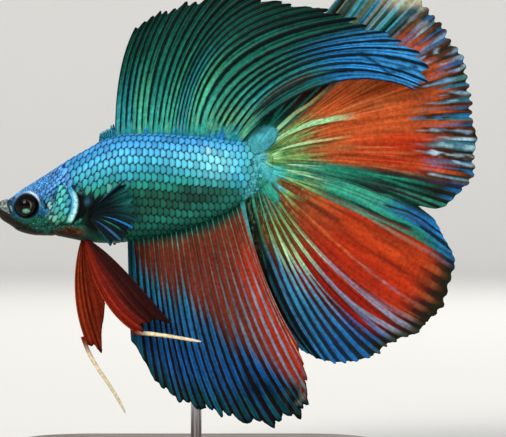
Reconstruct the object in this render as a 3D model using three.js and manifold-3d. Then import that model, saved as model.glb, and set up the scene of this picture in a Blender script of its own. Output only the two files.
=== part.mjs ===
// A male halfmoon fighting fish (betta), life size, as a still display model on a small stand.
// Millimetres, +Z up. The fish looks towards -X, its left side faces -Y, and the origin is the centre of the
// stand's underside. The fish itself is drawn in its own side plane: x runs back from the tip of the snout and
// z up from it, so that every outline below reads as a length along, and a height on, the fish.

import * as THREE from 'three';
import { mergeVertices } from 'three/addons/utils/BufferGeometryUtils.js';
import Module from 'manifold-3d';

const wasm = await Module();
wasm.setup();

// ---- driving dimensions ----------------------------------------------------------------------------------

const SNOUT = new THREE.Vector3(-36.8, 0, 48); // where the tip of the snout is in the model
const SEAM = 0.15; // the thin cut between two pieces that meet
const CRUMB = 0.01; // slivers thinner than this, left where two surfaces cross, are cleared after each cut

const BODY_AROUND = 22; // facets round the body
const BODY_ALONG = 32; // rings from snout to tail root
const HEAD_END = 16.0; // where the head meets the trunk, behind the gill cover
const TRUNK_END = 42.5; // where the trunk meets the tail root

const EYE = { x: 5.9, z: 0.4, side: 2.12, radius: 2.4, depth: 1.6 };
const GILL = { x: 12.8, z: 0.7, halfLength: 2.6, halfHeight: 3.7, proud: 0.25, inset: 0.45 };
const GAPE = { startZ: 0.1, endX: 3.1, endZ: -1.9 }; // the mouth's line, from the tip of the snout down and back
const LIP_END = 1.7;

const BASE = { length: 66, width: 40, height: 5, corner: 12, bevel: 0.8 };
const ROD = { radius: 1.0, y: 2.0, top: 53, sunk: 2.5 };

// The body's outline, one row for each place that shapes it: [x, top, bottom, half width].
const BODY_STATIONS = [
  [0.0, 0.0, 0.0, 0.0], // tip of the snout
  [0.25, 0.95, -1.15, 0.85],
  [0.9, 1.5, -2.2, 1.45], // lips
  [2.5, 1.95, -3.25, 2.1],
  [4.2, 3.15, -4.4, 2.7],
  [7.4, 5.25, -5.15, 3.5], // behind the eye
  [10.7, 7.35, -5.25, 4.1],
  [13.9, 9.3, -5.8, 4.55], // gill cover
  [17.1, 11.1, -6.4, 4.8],
  [20.5, 12.9, -6.6, 4.95], // pectoral fins
  [24.7, 13.7, -6.2, 4.95], // deepest
  [29.0, 13.7, -5.3, 4.6],
  [33.5, 13.45, -4.4, 4.1],
  [38.0, 13.2, -2.9, 3.4],
  [42.0, 12.6, -1.2, 2.6],
  [45.5, 12.3, 1.0, 2.0], // end of the anal fin
  [48.5, 12.4, 3.2, 1.4],
  [50.2, 11.4, 4.8, 0.9], // tail root
  [51.0, 9.4, 6.4, 0.4],
  [51.2, 7.9, 7.9, 0.0],
];
const WIDEST_AT = 0.5; // share of the body's height at which it is widest
const SECTION_POWER = 0.92; // under 1, a section is a little squarer than an ellipse

// Each fin is a fan of rays. A named ray is [share of the fan, then the four points of its cubic curve], each
// point as x, z; the rays between follow a smooth spline through the named ones.
const DORSAL = {
  rays: 19,
  steps: 6,
  thickness: [0.9, 0.5],
  notch: 0.045,
  pleat: 0.16,
  named: [
    [0.0, [21.9, 12.6], [21.9, 20.2], [22.6, 28.7], [26.5, 34.6]],
    [0.16, [26.5, 12.6], [26.6, 21.7], [27.8, 29.6], [33.0, 37.6]],
    [0.34, [31.1, 12.6], [31.8, 22.8], [35.2, 32.6], [43.2, 39.8]],
    [0.52, [33.9, 12.5], [34.6, 24.6], [40.4, 35.6], [54.4, 37.9]],
    [0.66, [35.9, 12.4], [36.4, 25.4], [43.6, 34.6], [64.4, 36.1]],
    [0.78, [38.6, 12.3], [40.6, 23.9], [51.2, 31.0], [71.6, 33.0]],
    [0.89, [41.0, 12.1], [46.0, 24.8], [60.0, 32.4], [80.2, 27.0]],
    [0.95, [42.9, 11.9], [49.2, 25.0], [63.6, 30.8], [80.6, 21.8]],
    [1.0, [44.7, 11.6], [49.2, 18.0], [64.0, 28.6], [78.2, 20.8]],
  ],
};

const CAUDAL = {
  rays: 25,
  steps: 6,
  thickness: [1.0, 0.5],
  notch: 0.035,
  pleat: 0.18,
  named: [
    [0.0, [46.4, 11.8], [47.4, 18.6], [56.6, 30.6], [65.5, 42.3]],
    [0.07, [47.8, 11.5], [54.0, 20.4], [64.6, 30.6], [72.5, 42.6]],
    [0.185, [49.2, 10.8], [58.7, 18.4], [69.7, 25.0], [81.6, 34.8]],
    [0.315, [49.6, 10.0], [59.2, 16.9], [73.4, 19.9], [88.0, 22.1]],
    [0.4, [49.8, 9.2], [59.6, 13.6], [74.3, 14.4], [89.1, 13.6]],
    [0.48, [49.8, 8.5], [61.5, 9.6], [74.3, 7.7], [88.0, 5.5]],
    [0.545, [49.8, 7.9], [62.4, 7.7], [73.4, 3.3], [82.4, -0.2]],
    [0.585, [49.7, 7.4], [60.5, 6.6], [72.5, 2.2], [81.1, -2.6]],
    [0.66, [49.5, 6.8], [58.7, 3.3], [74.3, -3.1], [84.5, -9.9]],
    [0.745, [49.2, 6.0], [55.9, -1.3], [67.0, -12.3], [82.0, -19.0]],
    [0.85, [48.6, 5.2], [53.2, -5.9], [61.5, -18.8], [72.5, -25.8]],
    [0.935, [47.8, 4.6], [50.4, -6.8], [55.0, -18.8], [62.9, -28.9]],
    [1.0, [46.2, 4.2], [46.6, -7.4], [48.8, -18.6], [56.4, -26.4]],
  ],
};

const ANAL = {
  rays: 18,
  steps: 6,
  thickness: [0.9, 0.5],
  notch: 0.03,
  pleat: 0.16,
  named: [
    [0.0, [24.2, -5.2], [24.4, -12.3], [24.6, -19.7], [25.0, -24.8]],
    [0.14, [27.4, -4.6], [28.4, -14.2], [28.8, -23.4], [31.6, -34.6]],
    [0.36, [31.8, -3.6], [33.2, -15.1], [34.0, -26.1], [39.6, -38.2]],
    [0.6, [37.0, -2.0], [39.8, -15.1], [41.6, -28.0], [50.0, -40.6]],
    [0.79, [41.4, -0.2], [44.8, -13.2], [47.8, -25.2], [57.4, -38.0]],
    [0.92, [44.0, 1.4], [47.2, -10.5], [51.4, -20.6], [58.0, -32.6]],
    [1.0, [45.5, 2.4], [47.0, -7.4], [50.6, -17.8], [56.4, -26.4]],
  ],
};

// Paired fins: the left one is drawn, and the depth is measured outwards from the middle plane.
const PECTORAL = {
  rays: 7,
  steps: 5,
  thickness: [0.7, 0.5],
  notch: 0.08,
  pleat: 0.1,
  named: [
    [0.0, [17.6, -0.4], [20.6, 2.2], [22.8, 4.2], [24.6, 5.7]],
    [0.3, [17.8, -0.7], [21.0, 0.8], [23.8, 2.0], [26.0, 2.6]],
    [0.6, [17.9, -1.2], [21.2, -1.0], [24.4, -1.8], [26.8, -3.2]],
    [0.8, [17.8, -1.6], [20.4, -2.2], [23.4, -3.8], [25.4, -6.0]],
    [1.0, [17.5, -2.0], [18.8, -3.6], [20.2, -5.2], [21.4, -7.0]],
  ],
};

const PELVIC_NEAR = {
  rays: 5,
  steps: 7,
  thickness: [0.7, 0.5],
  notch: 0.06,
  pleat: 0.1,
  named: [
    [0.0, [16.4, -6.0], [17.3, -13.2], [21.3, -21.0], [27.2, -23.2]],
    [0.5, [16.9, -6.0], [19.5, -11.2], [23.4, -17.6], [28.2, -21.0]],
    [1.0, [17.4, -6.0], [21.3, -8.1], [26.5, -14.2], [32.6, -21.2]],
  ],
  filament: [[25.4, -22.7], [29.8, -22.9], [33.4, -23.6], [38.0, -24.4]],
};

const PELVIC_FAR = {
  rays: 5,
  steps: 7,
  thickness: [0.7, 0.5],
  notch: 0.06,
  pleat: 0.1,
  named: [
    [0.0, [15.6, -5.8], [13.9, -11.4], [13.8, -18.8], [16.6, -25.2]],
    [0.5, [15.9, -5.8], [15.6, -12.0], [16.0, -18.4], [19.2, -27.0]],
    [1.0, [16.3, -5.8], [17.4, -10.8], [19.1, -14.2], [19.9, -17.7]],
  ],
  filament: [[15.8, -23.8], [17.4, -29.6], [20.6, -31.4], [23.7, -38.1]],
};

// ---- curves ----------------------------------------------------------------------------------------------

const mix = (a, b, t) => a + (b - a) * t;

function smooth(low, high, value) {
  return THREE.MathUtils.smoothstep(value, low, high);
}

function bump(centre, width, value) {
  return Math.exp(-(((value - centre) / width) ** 2));
}

// A smooth curve through (knot, value) pairs, with no overshoot between them.
function through(knots, values, at) {
  const last = knots.length - 1;
  const slope = (i) => (values[i + 1] - values[i]) / (knots[i + 1] - knots[i]);
  const tangent = (i) => {
    if (i === 0) return slope(0);
    if (i === last) return slope(last - 1);
    const [before, after] = [slope(i - 1), slope(i)];
    return before * after <= 0 ? 0 : (2 * before * after) / (before + after);
  };
  const t = Math.min(Math.max(at, knots[0]), knots[last]);
  const i = Math.min(Math.max(knots.findIndex((k) => k >= t) - 1, 0), last - 1);
  const span = knots[i + 1] - knots[i];
  const s = (t - knots[i]) / span;
  return (
    values[i] * (1 + 2 * s) * (1 - s) ** 2 +
    tangent(i) * span * s * (1 - s) ** 2 +
    values[i + 1] * s * s * (3 - 2 * s) +
    tangent(i + 1) * span * s * s * (s - 1)
  );
}

function cubic(points, t) {
  const s = 1 - t;
  const weight = [s * s * s, 3 * s * s * t, 3 * s * t * t, t * t * t];
  return [0, 1].map((axis) => weight.reduce((sum, w, i) => sum + w * points[i][axis], 0));
}

// ---- solids ----------------------------------------------------------------------------------------------

function solidOf(geometry) {
  geometry.deleteAttribute('normal');
  geometry.deleteAttribute('uv');
  const merged = mergeVertices(geometry, 1e-4);
  const triVerts = new Uint32Array(merged.index.array);
  const position = merged.attributes.position;
  const corner = (i) => new THREE.Vector3().fromBufferAttribute(position, triVerts[i]);
  let volume = 0;
  for (let i = 0; i < triVerts.length; i += 3) {
    volume += corner(i).dot(corner(i + 1).cross(corner(i + 2)));
  }
  if (volume < 0) triVerts.reverse();
  const mesh = new wasm.Mesh({ numProp: 3, vertProperties: position.array, triVerts });
  return new wasm.Manifold(mesh);
}

// The same solid with its slivers gone and corners closer than a crumb made one.
function cleaned(solid) {
  const mesh = solid.simplify(CRUMB).getMesh();
  const corners = [];
  const cornerOf = Array.from({ length: mesh.numVert }, (_, i) => {
    const at = new THREE.Vector3().fromArray(mesh.vertProperties, 3 * i);
    const near = corners.findIndex((corner) => corner.distanceTo(at) < CRUMB);
    return near < 0 ? corners.push(at) - 1 : near;
  });
  const triVerts = [];
  for (let i = 0; i < mesh.triVerts.length; i += 3) {
    const triangle = [0, 1, 2].map((k) => cornerOf[mesh.triVerts[i + k]]);
    if (new Set(triangle).size === 3) triVerts.push(...triangle);
  }
  const vertProperties = new Float32Array(corners.flatMap((corner) => corner.toArray()));
  return new wasm.Manifold(new wasm.Mesh({ numProp: 3, vertProperties, triVerts: new Uint32Array(triVerts) }));
}

function geometryOf(solid) {
  const mesh = cleaned(solid).getMesh();
  const geometry = new THREE.BufferGeometry();
  geometry.setAttribute('position', new THREE.BufferAttribute(mesh.vertProperties, 3));
  geometry.setIndex(new THREE.BufferAttribute(mesh.triVerts, 1));
  geometry.computeVertexNormals();
  return geometry;
}

// A closed three.js shape whose every vertex is moved by one function.
function warped(geometry, place) {
  const position = geometry.attributes.position;
  const at = new THREE.Vector3();
  for (let i = 0; i < position.count; i += 1) {
    at.fromBufferAttribute(position, i);
    position.setXYZ(i, ...place(at));
  }
  return solidOf(geometry);
}

const largest = (solid) => solid.decompose().sort((a, b) => b.volume() - a.volume())[0];

// A box between two corners, for the cuts.
function block(low, high) {
  const size = high.map((value, axis) => value - low[axis]);
  const geometry = new THREE.BoxGeometry(...size);
  geometry.translate(...low.map((value, axis) => value + size[axis] / 2));
  return solidOf(geometry);
}

// ---- body ------------------------------------------------------------------------------------------------

const STATION_AT = BODY_STATIONS.map((_, i) => i / (BODY_STATIONS.length - 1));
const bodyColumn = (column, t) => through(STATION_AT, BODY_STATIONS.map((row) => row[column]), t);

// The body's surface, grown outwards by a small swell.
function bodySolid(swell) {
  const sphere = new THREE.SphereGeometry(1, BODY_AROUND, BODY_ALONG);
  return warped(sphere, ({ x, y, z }) => {
    const t = Math.acos(THREE.MathUtils.clamp(y, -1, 1)) / Math.PI;
    const angle = Math.atan2(x, z); // 0 at the back, pi at the belly
    const [along, top, bottom, half] = [0, 1, 2, 3].map((column) => bodyColumn(column, t));
    const level = mix(bottom, top, WIDEST_AT);
    const power = (value) => Math.sign(value) * Math.abs(value) ** SECTION_POWER;
    const across = Math.abs(y) > 1 - 1e-6 ? 0 : power(Math.sin(angle));
    const height = Math.abs(y) > 1 - 1e-6 ? 0 : power(Math.cos(angle));
    const reach = height > 0 ? top - level : level - bottom;
    const end = Math.cos(t * Math.PI);
    return [along - end * swell, across * (half + swell), level + height * (reach + swell)];
  });
}

function cylinderAcross(x, z, halfLength, halfHeight, facets) {
  const geometry = new THREE.CylinderGeometry(1, 1, 20, facets);
  geometry.scale(halfLength, 1, halfHeight);
  geometry.translate(x, 0, z);
  return solidOf(geometry);
}

const LEFT = -1;
const RIGHT = 1;
const sideBlock = (side) => block([-5, side < 0 ? -20 : 0.2, -20], [60, side < 0 ? -0.2 : 20, 30]);

function eyeSolid(side, swell) {
  const geometry = new THREE.SphereGeometry(1, 14, 8);
  geometry.scale(EYE.radius + swell, EYE.depth + swell, EYE.radius + swell);
  geometry.translate(EYE.x, side * EYE.side, EYE.z);
  return solidOf(geometry);
}

function gillCover(side, swell) {
  const outer = bodySolid(GILL.proud + swell);
  const inner = bodySolid(-GILL.inset - swell);
  const oval = cylinderAcross(GILL.x, GILL.z, GILL.halfLength + swell, GILL.halfHeight + swell, 16);
  return largest(outer.intersect(oval).subtract(inner).intersect(sideBlock(side)));
}

// The room in front of endX and under the mouth's line, shifted up by a share of the seam.
function underGape(endX, shift) {
  const angle = Math.atan2(GAPE.startZ - GAPE.endZ, GAPE.endX);
  const down = [-Math.sin(angle), 0, -Math.cos(angle)];
  return block([-5, -20, -20], [endX, 20, 30]).trimByPlane(down, -Math.cos(angle) * (GAPE.startZ + shift));
}

function bodyParts() {
  const whole = bodySolid(0);
  const parts = {
    trunk: whole.intersect(block([HEAD_END + SEAM / 2, -20, -20], [TRUNK_END - SEAM / 2, 20, 30])),
    tail_root: whole.intersect(block([TRUNK_END + SEAM / 2, -20, -20], [60, 20, 30])),
  };
  let head = whole.intersect(block([-5, -20, -20], [HEAD_END - SEAM / 2, 20, 30]));
  for (const [name, side] of [['left', LEFT], ['right', RIGHT]]) {
    parts[`eye_${name}`] = eyeSolid(side, 0);
    parts[`gill_cover_${name}`] = gillCover(side, 0);
    head = head.subtract(eyeSolid(side, SEAM)).subtract(gillCover(side, SEAM));
  }
  parts.lower_jaw = head.intersect(underGape(GAPE.endX, 0));
  const aboveGape = head.subtract(underGape(GAPE.endX + SEAM, SEAM));
  parts.upper_lip = aboveGape.intersect(block([-5, -20, -20], [LIP_END, 20, 30]));
  parts.head = aboveGape.subtract(block([-5, -20, -20], [LIP_END + SEAM, 20, 30]));
  return parts;
}

// ---- fins ------------------------------------------------------------------------------------------------

// How far out each ray reaches, as a share of its named length: the ragged margin and the notches in it.
const reachOf = {
  dorsal: (u) => {
    const front = mix(0.93, 1, smooth(0, 0.05, u));
    const ragged = 1 - 0.03 * Math.abs(Math.sin(u * 31));
    return front * ragged;
  },
  caudal: (u) => (1 - 0.13 * bump(0.565, 0.012, u)) * (1 - 0.012 * Math.abs(Math.sin(u * 47))),
  anal: (u) => (1 - 0.03 * Math.abs(Math.sin(u * 29 + 0.6))) * (1 - 0.04 * bump(0.96, 0.03, u)),
  pectoral: () => 1,
  pelvic: (u) => 1 - 0.16 * bump(0.3, 0.12, u) - 0.14 * bump(0.75, 0.12, u),
};

// How far each fin stands out of the middle plane: its lean and its slow waves.
const depthOf = {
  dorsal: (u, v) => -3.4 * u * u * (1 - (1 - v) ** 2) + 0.55 * v * Math.sin(u * 17),
  caudal: (u, v) => {
    const lean = mix(2.6, -2.2, smooth(0.5, 0.61, u)) + 3.4 * smooth(0.66, 0.95, u);
    const clearOfAnal = 0.3 + 0.3 * smooth(0.85, 1, u);
    return clearOfAnal * smooth(0, 0.1, v) + lean * v + 0.55 * v * v * Math.sin(u * 38);
  },
  anal: (u, v) => -1.5 * v + 0.5 * v * v * Math.sin(u * 21),
  pectoral: (u, v) => 4.55 + 4.2 * v * (0.75 + 0.25 * Math.sin(u * 3.14)),
  pelvicNear: (u, v) => 1.3 + 3.6 * v ** 0.8 + 0.5 * v * Math.sin(u * 5),
  pelvicFar: (u, v) => 1.3 + 2.2 * v + 0.4 * v * Math.sin(u * 5),
};

// A fan of rays as one closed sheet: even columns are rays and odd ones the web between them.
function finSolid(fin, reach, depth) {
  const columns = 2 * (fin.rays - 1);
  const shares = fin.named.map((ray) => ray[0]);
  const control = (point, axis, u) => through(shares, fin.named.map((ray) => ray[point][axis]), u);
  const sheet = new THREE.BoxGeometry(1, 1, 1, columns, fin.steps, 1);
  return warped(sheet, ({ x, y, z }) => {
    const [u, v] = [x + 0.5, y + 0.5];
    const isWeb = Math.round(u * columns) % 2;
    const ray = [1, 2, 3, 4].map((point) => [0, 1].map((axis) => control(point, axis, u)));
    const [along, height] = cubic(ray, v * reach(u) * (isWeb ? 1 - fin.notch : 1));
    const fold = fin.pleat * v * (isWeb ? 1 : -1);
    const half = mix(fin.thickness[0], fin.thickness[1], v) / 2;
    return [along, depth(u, v) + fold + Math.sign(z) * half, height];
  });
}

// The long white tip of a pelvic fin: a tapering thread along a cubic curve.
function filamentSolid(points, depth, thick, thin) {
  const thread = new THREE.CylinderGeometry(1, 1, 1, 8, 8);
  return warped(thread, ({ x, y, z }) => {
    const t = y + 0.5;
    const [along, height] = cubic(points, t);
    const [next, nextHeight] = cubic(points, t + 0.01);
    const heading = Math.atan2(nextHeight - height, next - along);
    const radius = mix(thick, thin, t);
    return [
      along - Math.sin(heading) * x * radius,
      depth(0, 1) + z * radius,
      height + Math.cos(heading) * x * radius,
    ];
  });
}

const mirrored = (solid) => solid.mirror([0, 1, 0]);

function finParts(bodyRoom) {
  const clearOfBody = (solid) => largest(solid.subtract(bodyRoom));
  const pelvic = (fin, depth) =>
    finSolid(fin, reachOf.pelvic, depth).add(filamentSolid(fin.filament, depth, 0.42, 0.28));
  const pectoral = clearOfBody(finSolid(PECTORAL, reachOf.pectoral, depthOf.pectoral));
  return {
    dorsal_fin: clearOfBody(finSolid(DORSAL, reachOf.dorsal, depthOf.dorsal)),
    caudal_fin: clearOfBody(finSolid(CAUDAL, reachOf.caudal, depthOf.caudal)),
    anal_fin: clearOfBody(finSolid(ANAL, reachOf.anal, depthOf.anal)),
    pectoral_fin_left: mirrored(pectoral),
    pectoral_fin_right: pectoral,
    pelvic_fin_left: clearOfBody(mirrored(pelvic(PELVIC_NEAR, depthOf.pelvicNear))),
    pelvic_fin_right: clearOfBody(pelvic(PELVIC_FAR, depthOf.pelvicFar)),
  };
}

// ---- stand -----------------------------------------------------------------------------------------------

function standBase() {
  const { length, width, height, corner, bevel } = BASE;
  const outline = new THREE.Shape();
  const [x, y] = [length / 2 - bevel - corner, width / 2 - bevel - corner];
  outline.absarc(x, y, corner, 0, Math.PI / 2);
  outline.absarc(-x, y, corner, Math.PI / 2, Math.PI);
  outline.absarc(-x, -y, corner, Math.PI, Math.PI * 1.5);
  outline.absarc(x, -y, corner, Math.PI * 1.5, Math.PI * 2);
  const geometry = new THREE.ExtrudeGeometry(outline, {
    depth: height - 2 * bevel,
    bevelSize: bevel,
    bevelThickness: bevel,
    bevelSegments: 1,
    curveSegments: 4,
  });
  geometry.translate(0, 0, bevel);
  return solidOf(geometry);
}

function rodSolid(swell) {
  const bottom = BASE.height - ROD.sunk - swell;
  const geometry = new THREE.CylinderGeometry(ROD.radius + swell, ROD.radius + swell, ROD.top - bottom, 12);
  geometry.rotateX(Math.PI / 2);
  geometry.translate(0, ROD.y, (ROD.top + bottom) / 2);
  return solidOf(geometry);
}

// ---- the model -------------------------------------------------------------------------------------------

const FINISH = {
  scales: { color: 0x2fa1b4, roughness: 0.35, metalness: 0.2 },
  head: { color: 0x3f8fb0, roughness: 0.4, metalness: 0.2 },
  lips: { color: 0x404d49, roughness: 0.6, metalness: 0 },
  eye: { color: 0x0a0808, roughness: 0.1, metalness: 0 },
  finBlue: { color: 0x15746f, roughness: 0.45, metalness: 0.1 },
  finRed: { color: 0xa63a1a, roughness: 0.5, metalness: 0 },
  pelvic: { color: 0x8a2a14, roughness: 0.5, metalness: 0 },
  pectoral: { color: 0x123038, roughness: 0.5, metalness: 0 },
  wood: { color: 0x5b3a24, roughness: 0.5, metalness: 0 },
  steel: { color: 0xb8bcc0, roughness: 0.3, metalness: 1 },
};

const FINISH_OF = {
  head: 'head',
  upper_lip: 'lips',
  lower_jaw: 'lips',
  gill_cover_left: 'head',
  gill_cover_right: 'head',
  eye_left: 'eye',
  eye_right: 'eye',
  trunk: 'scales',
  tail_root: 'scales',
  dorsal_fin: 'finBlue',
  caudal_fin: 'finRed',
  anal_fin: 'finRed',
  pectoral_fin_left: 'pectoral',
  pectoral_fin_right: 'pectoral',
  pelvic_fin_left: 'pelvic',
  pelvic_fin_right: 'pelvic',
  stand_base: 'wood',
  stand_rod: 'steel',
};

function namedMesh(name, solid) {
  const mesh = new THREE.Mesh(geometryOf(solid), new THREE.MeshStandardMaterial(FINISH[FINISH_OF[name]]));
  mesh.name = name;
  return mesh;
}

const bodyRoom = bodySolid(SEAM);
const fish = new THREE.Group();
fish.position.copy(SNOUT);
for (const [name, solid] of Object.entries({ ...bodyParts(), ...finParts(bodyRoom) })) {
  fish.add(namedMesh(name, solid));
}

const bodyRoomInPlace = bodyRoom.translate(SNOUT.toArray());
const stand = new THREE.Group();
stand.add(namedMesh('stand_base', standBase().subtract(rodSolid(SEAM))));
stand.add(namedMesh('stand_rod', largest(rodSolid(0).subtract(bodyRoomInPlace))));

const model = new THREE.Group();
model.add(fish, stand);

export default model;
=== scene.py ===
"""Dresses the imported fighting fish: one skin, its scales, rayed fins, wet eyes and the walnut stand.

Lengths on the fish are in millimetres in its own side plane: along runs back from the tip of the snout, out
is the distance from the middle plane (the left side is negative) and up is the height above the tip of the
snout.
"""

import math

import bmesh
import bpy
import numpy as np
from bpy.props import FloatProperty, FloatVectorProperty, IntProperty, PointerProperty
from mathutils import Matrix, Vector


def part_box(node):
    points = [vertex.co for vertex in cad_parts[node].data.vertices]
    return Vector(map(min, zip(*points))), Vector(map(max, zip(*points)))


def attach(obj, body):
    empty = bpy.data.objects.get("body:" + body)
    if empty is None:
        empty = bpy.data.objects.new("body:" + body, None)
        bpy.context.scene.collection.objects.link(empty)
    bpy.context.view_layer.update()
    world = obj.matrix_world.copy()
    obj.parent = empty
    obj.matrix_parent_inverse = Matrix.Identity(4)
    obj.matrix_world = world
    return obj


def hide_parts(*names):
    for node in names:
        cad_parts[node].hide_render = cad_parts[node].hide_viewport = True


bl_info = {
    "name": "Fighting fish display model",
    "version": (1, 0, 0),
    "blender": (4, 5, 0),
    "location": "3D View > Sidebar > Fish",
    "description": "Builds the skin, scales, fins, eyes and stand of a life-size fighting fish",
    "category": "Object",
}

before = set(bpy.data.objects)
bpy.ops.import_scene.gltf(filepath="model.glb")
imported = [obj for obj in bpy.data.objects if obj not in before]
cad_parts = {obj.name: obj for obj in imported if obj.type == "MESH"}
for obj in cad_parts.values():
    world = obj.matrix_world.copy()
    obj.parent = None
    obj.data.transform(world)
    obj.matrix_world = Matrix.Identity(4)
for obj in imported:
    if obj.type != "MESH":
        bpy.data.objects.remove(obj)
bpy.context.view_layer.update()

MM = 0.001
LEFT, RIGHT = -1, 1
SIDES = ((LEFT, "left"), (RIGHT, "right"))

# ---- the fish's plan -----------------------------------------------------------------------------

EYE = {"along": 5.9, "up": 0.4, "out": 2.3, "radius": 2.25, "depth": 1.5}


def centre_of(node):
    low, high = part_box(node)
    return (low + high) / 2


SNOUT = centre_of("eye_left") - Vector((EYE["along"] * MM, 0, EYE["up"] * MM))
SNOUT.y = 0

# The body's outline, one row for each place that shapes it: along, top, bottom, half width.
BODY_STATIONS = np.array([
    (0.0, 0.0, 0.0, 0.0),
    (0.25, 0.95, -1.15, 0.85),
    (0.9, 1.5, -2.2, 1.45),  # lips
    (2.5, 1.95, -3.25, 2.1),
    (4.2, 3.15, -4.4, 2.7),
    (7.4, 5.25, -5.15, 3.5),  # behind the eye
    (10.7, 7.35, -5.25, 4.1),
    (13.9, 9.3, -5.8, 4.55),  # gill cover
    (17.1, 11.1, -6.4, 4.8),
    (20.5, 12.9, -6.6, 4.95),  # pectoral fins
    (24.7, 13.7, -6.2, 4.95),  # deepest
    (29.0, 13.7, -5.3, 4.6),
    (33.5, 13.45, -4.4, 4.1),
    (38.0, 13.2, -2.9, 3.4),
    (42.0, 12.6, -1.2, 2.6),
    (45.5, 12.3, 1.0, 2.0),  # end of the anal fin
    (48.5, 12.4, 3.2, 1.4),
    (50.2, 11.4, 4.8, 0.9),  # tail root
    (51.0, 9.4, 6.4, 0.4),
    (51.2, 7.9, 7.9, 0.0),
])
BODY_END = BODY_STATIONS[-1, 0]
HALF_GIRTH = 26  # more than the way from back to belly anywhere
SECTION_POWER = 0.92  # under 1, a section is a little squarer than an ellipse

# Lines on the side of the head, each as (up, along) from its lower end to its upper one.
LIP_FOLD = [(-1.34, 3.2), (-0.92, 2.87), (0.55, 2.38), (1.62, 2.3)]
COVER_FRONT = [(-2.8, 10.3), (-0.74, 10.65), (0.92, 11.1), (2.76, 11.26), (3.97, 11.7), (4.58, 12.9)]
COVER_REAR = [
    (-2.9, 14.2), (-2.28, 14.54), (-0.92, 15.16), (0.31, 15.46), (1.53, 15.46), (2.76, 15.07), (3.97, 14.17)
]
GAP_REAR = [
    (-2.9, 14.3), (-1.99, 16.1), (-0.92, 16.75), (0.31, 16.98), (1.84, 16.7), (3.05, 15.99), (4.2, 15.2)
]
GAPE = {"start": (0.0, 0.15), "end": (3.05, -1.5)}  # the mouth's line, as (along, up)
NOSTRILS = ((2.62, 1.22, 0.3), (3.5, 1.85, 0.22))  # along, up and depth

# Each fin is a fan of rays. A named ray is its share of the fan, then the four points of its cubic curve as
# (along, up); the rays between follow a smooth spline through the named ones.
DORSAL = {
    "rays": 27,
    # Each pair is a ray's number and its share of the fan.
    "spread": (
        (0, 0.0), (4.7, 0.16), (9.6, 0.34), (13.6, 0.52), (16.6, 0.66), (19.6, 0.78),
        (22.5, 0.89), (24.3, 0.95), (26, 1.0),
    ),
    "columns": 12,
    "rows": 90,
    "thickness": (0.55, 0.22),
    "pleat": 0.14,
    "named": [
        (0.0, (21.9, 12.6), (21.9, 20.2), (22.6, 28.7), (26.5, 34.6)),
        (0.16, (26.5, 12.6), (26.6, 21.7), (27.8, 29.6), (33.0, 37.6)),
        (0.34, (31.1, 12.6), (31.8, 22.8), (35.2, 32.6), (43.2, 39.8)),
        (0.52, (33.9, 12.5), (34.6, 24.6), (40.4, 35.6), (54.4, 37.9)),
        (0.66, (35.9, 12.4), (36.4, 25.4), (43.6, 34.6), (64.4, 36.1)),
        (0.78, (38.6, 12.3), (40.6, 23.9), (51.2, 31.0), (71.6, 33.0)),
        (0.89, (41.0, 12.1), (46.0, 24.8), (60.0, 32.4), (80.2, 27.0)),
        (0.95, (42.9, 11.9), (49.2, 25.0), (63.6, 30.8), (80.6, 21.8)),
        (1.0, (44.7, 11.6), (49.2, 18.0), (64.0, 28.6), (78.2, 20.8)),
    ],
}

# A low frayed fringe stands on the nape before the dorsal fin.
FRINGE = {
    "rays": 9,
    "columns": 10,
    "rows": 20,
    "thickness": (0.3, 0.14),
    "pleat": 0.06,
    "named": [
        (0.0, (18.9, 12.0), (19.0, 12.7), (19.1, 13.3), (19.2, 13.9)),
        (0.5, (20.6, 12.2), (20.5, 13.1), (20.4, 14.0), (20.4, 14.9)),
        (1.0, (22.5, 12.4), (22.4, 13.4), (22.2, 14.5), (22.0, 15.6)),
    ],
}

CAUDAL = {
    "rays": 19,
    "columns": 24,
    "rows": 100,
    "thickness": (0.6, 0.22),
    "pleat": 0.12,
    # The rays stand closer in the lower lobe: each pair is a ray's number and its share of the fan.
    "spread": ((0, 0.0), (7.5, 0.5), (10.5, 0.68), (11.6, 0.775), (18, 1.0)),
    "named": [
        (0.0, (45.0, 11.4), (46.4, 18.6), (56.6, 30.6), (65.5, 42.3)),
        (0.07, (47.8, 11.5), (54.0, 20.4), (64.6, 30.6), (72.5, 42.6)),
        (0.185, (49.2, 10.8), (58.7, 18.4), (69.7, 25.0), (81.6, 34.8)),
        (0.315, (49.6, 10.0), (59.2, 16.9), (73.4, 19.9), (88.0, 22.1)),
        (0.4, (49.8, 9.2), (59.6, 13.6), (74.3, 14.4), (89.1, 13.6)),
        (0.48, (49.8, 8.5), (61.5, 9.6), (74.3, 7.7), (88.0, 5.5)),
        (0.545, (49.8, 7.9), (62.4, 7.7), (73.4, 3.3), (82.4, -0.2)),
        (0.585, (49.7, 7.4), (60.5, 6.6), (72.5, 2.2), (81.1, -2.6)),
        (0.66, (49.5, 6.8), (58.7, 3.3), (74.3, -3.1), (84.5, -9.9)),
        (0.745, (49.2, 6.0), (55.9, -1.3), (67.0, -12.3), (82.0, -19.0)),
        (0.85, (48.6, 5.2), (53.2, -5.9), (61.5, -18.8), (72.5, -25.8)),
        (0.935, (47.8, 4.6), (50.4, -6.8), (55.0, -18.8), (62.9, -28.9)),
        (1.0, (45.3, 4.2), (46.0, -7.4), (48.8, -18.6), (56.4, -26.4)),
    ],
}

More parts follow.
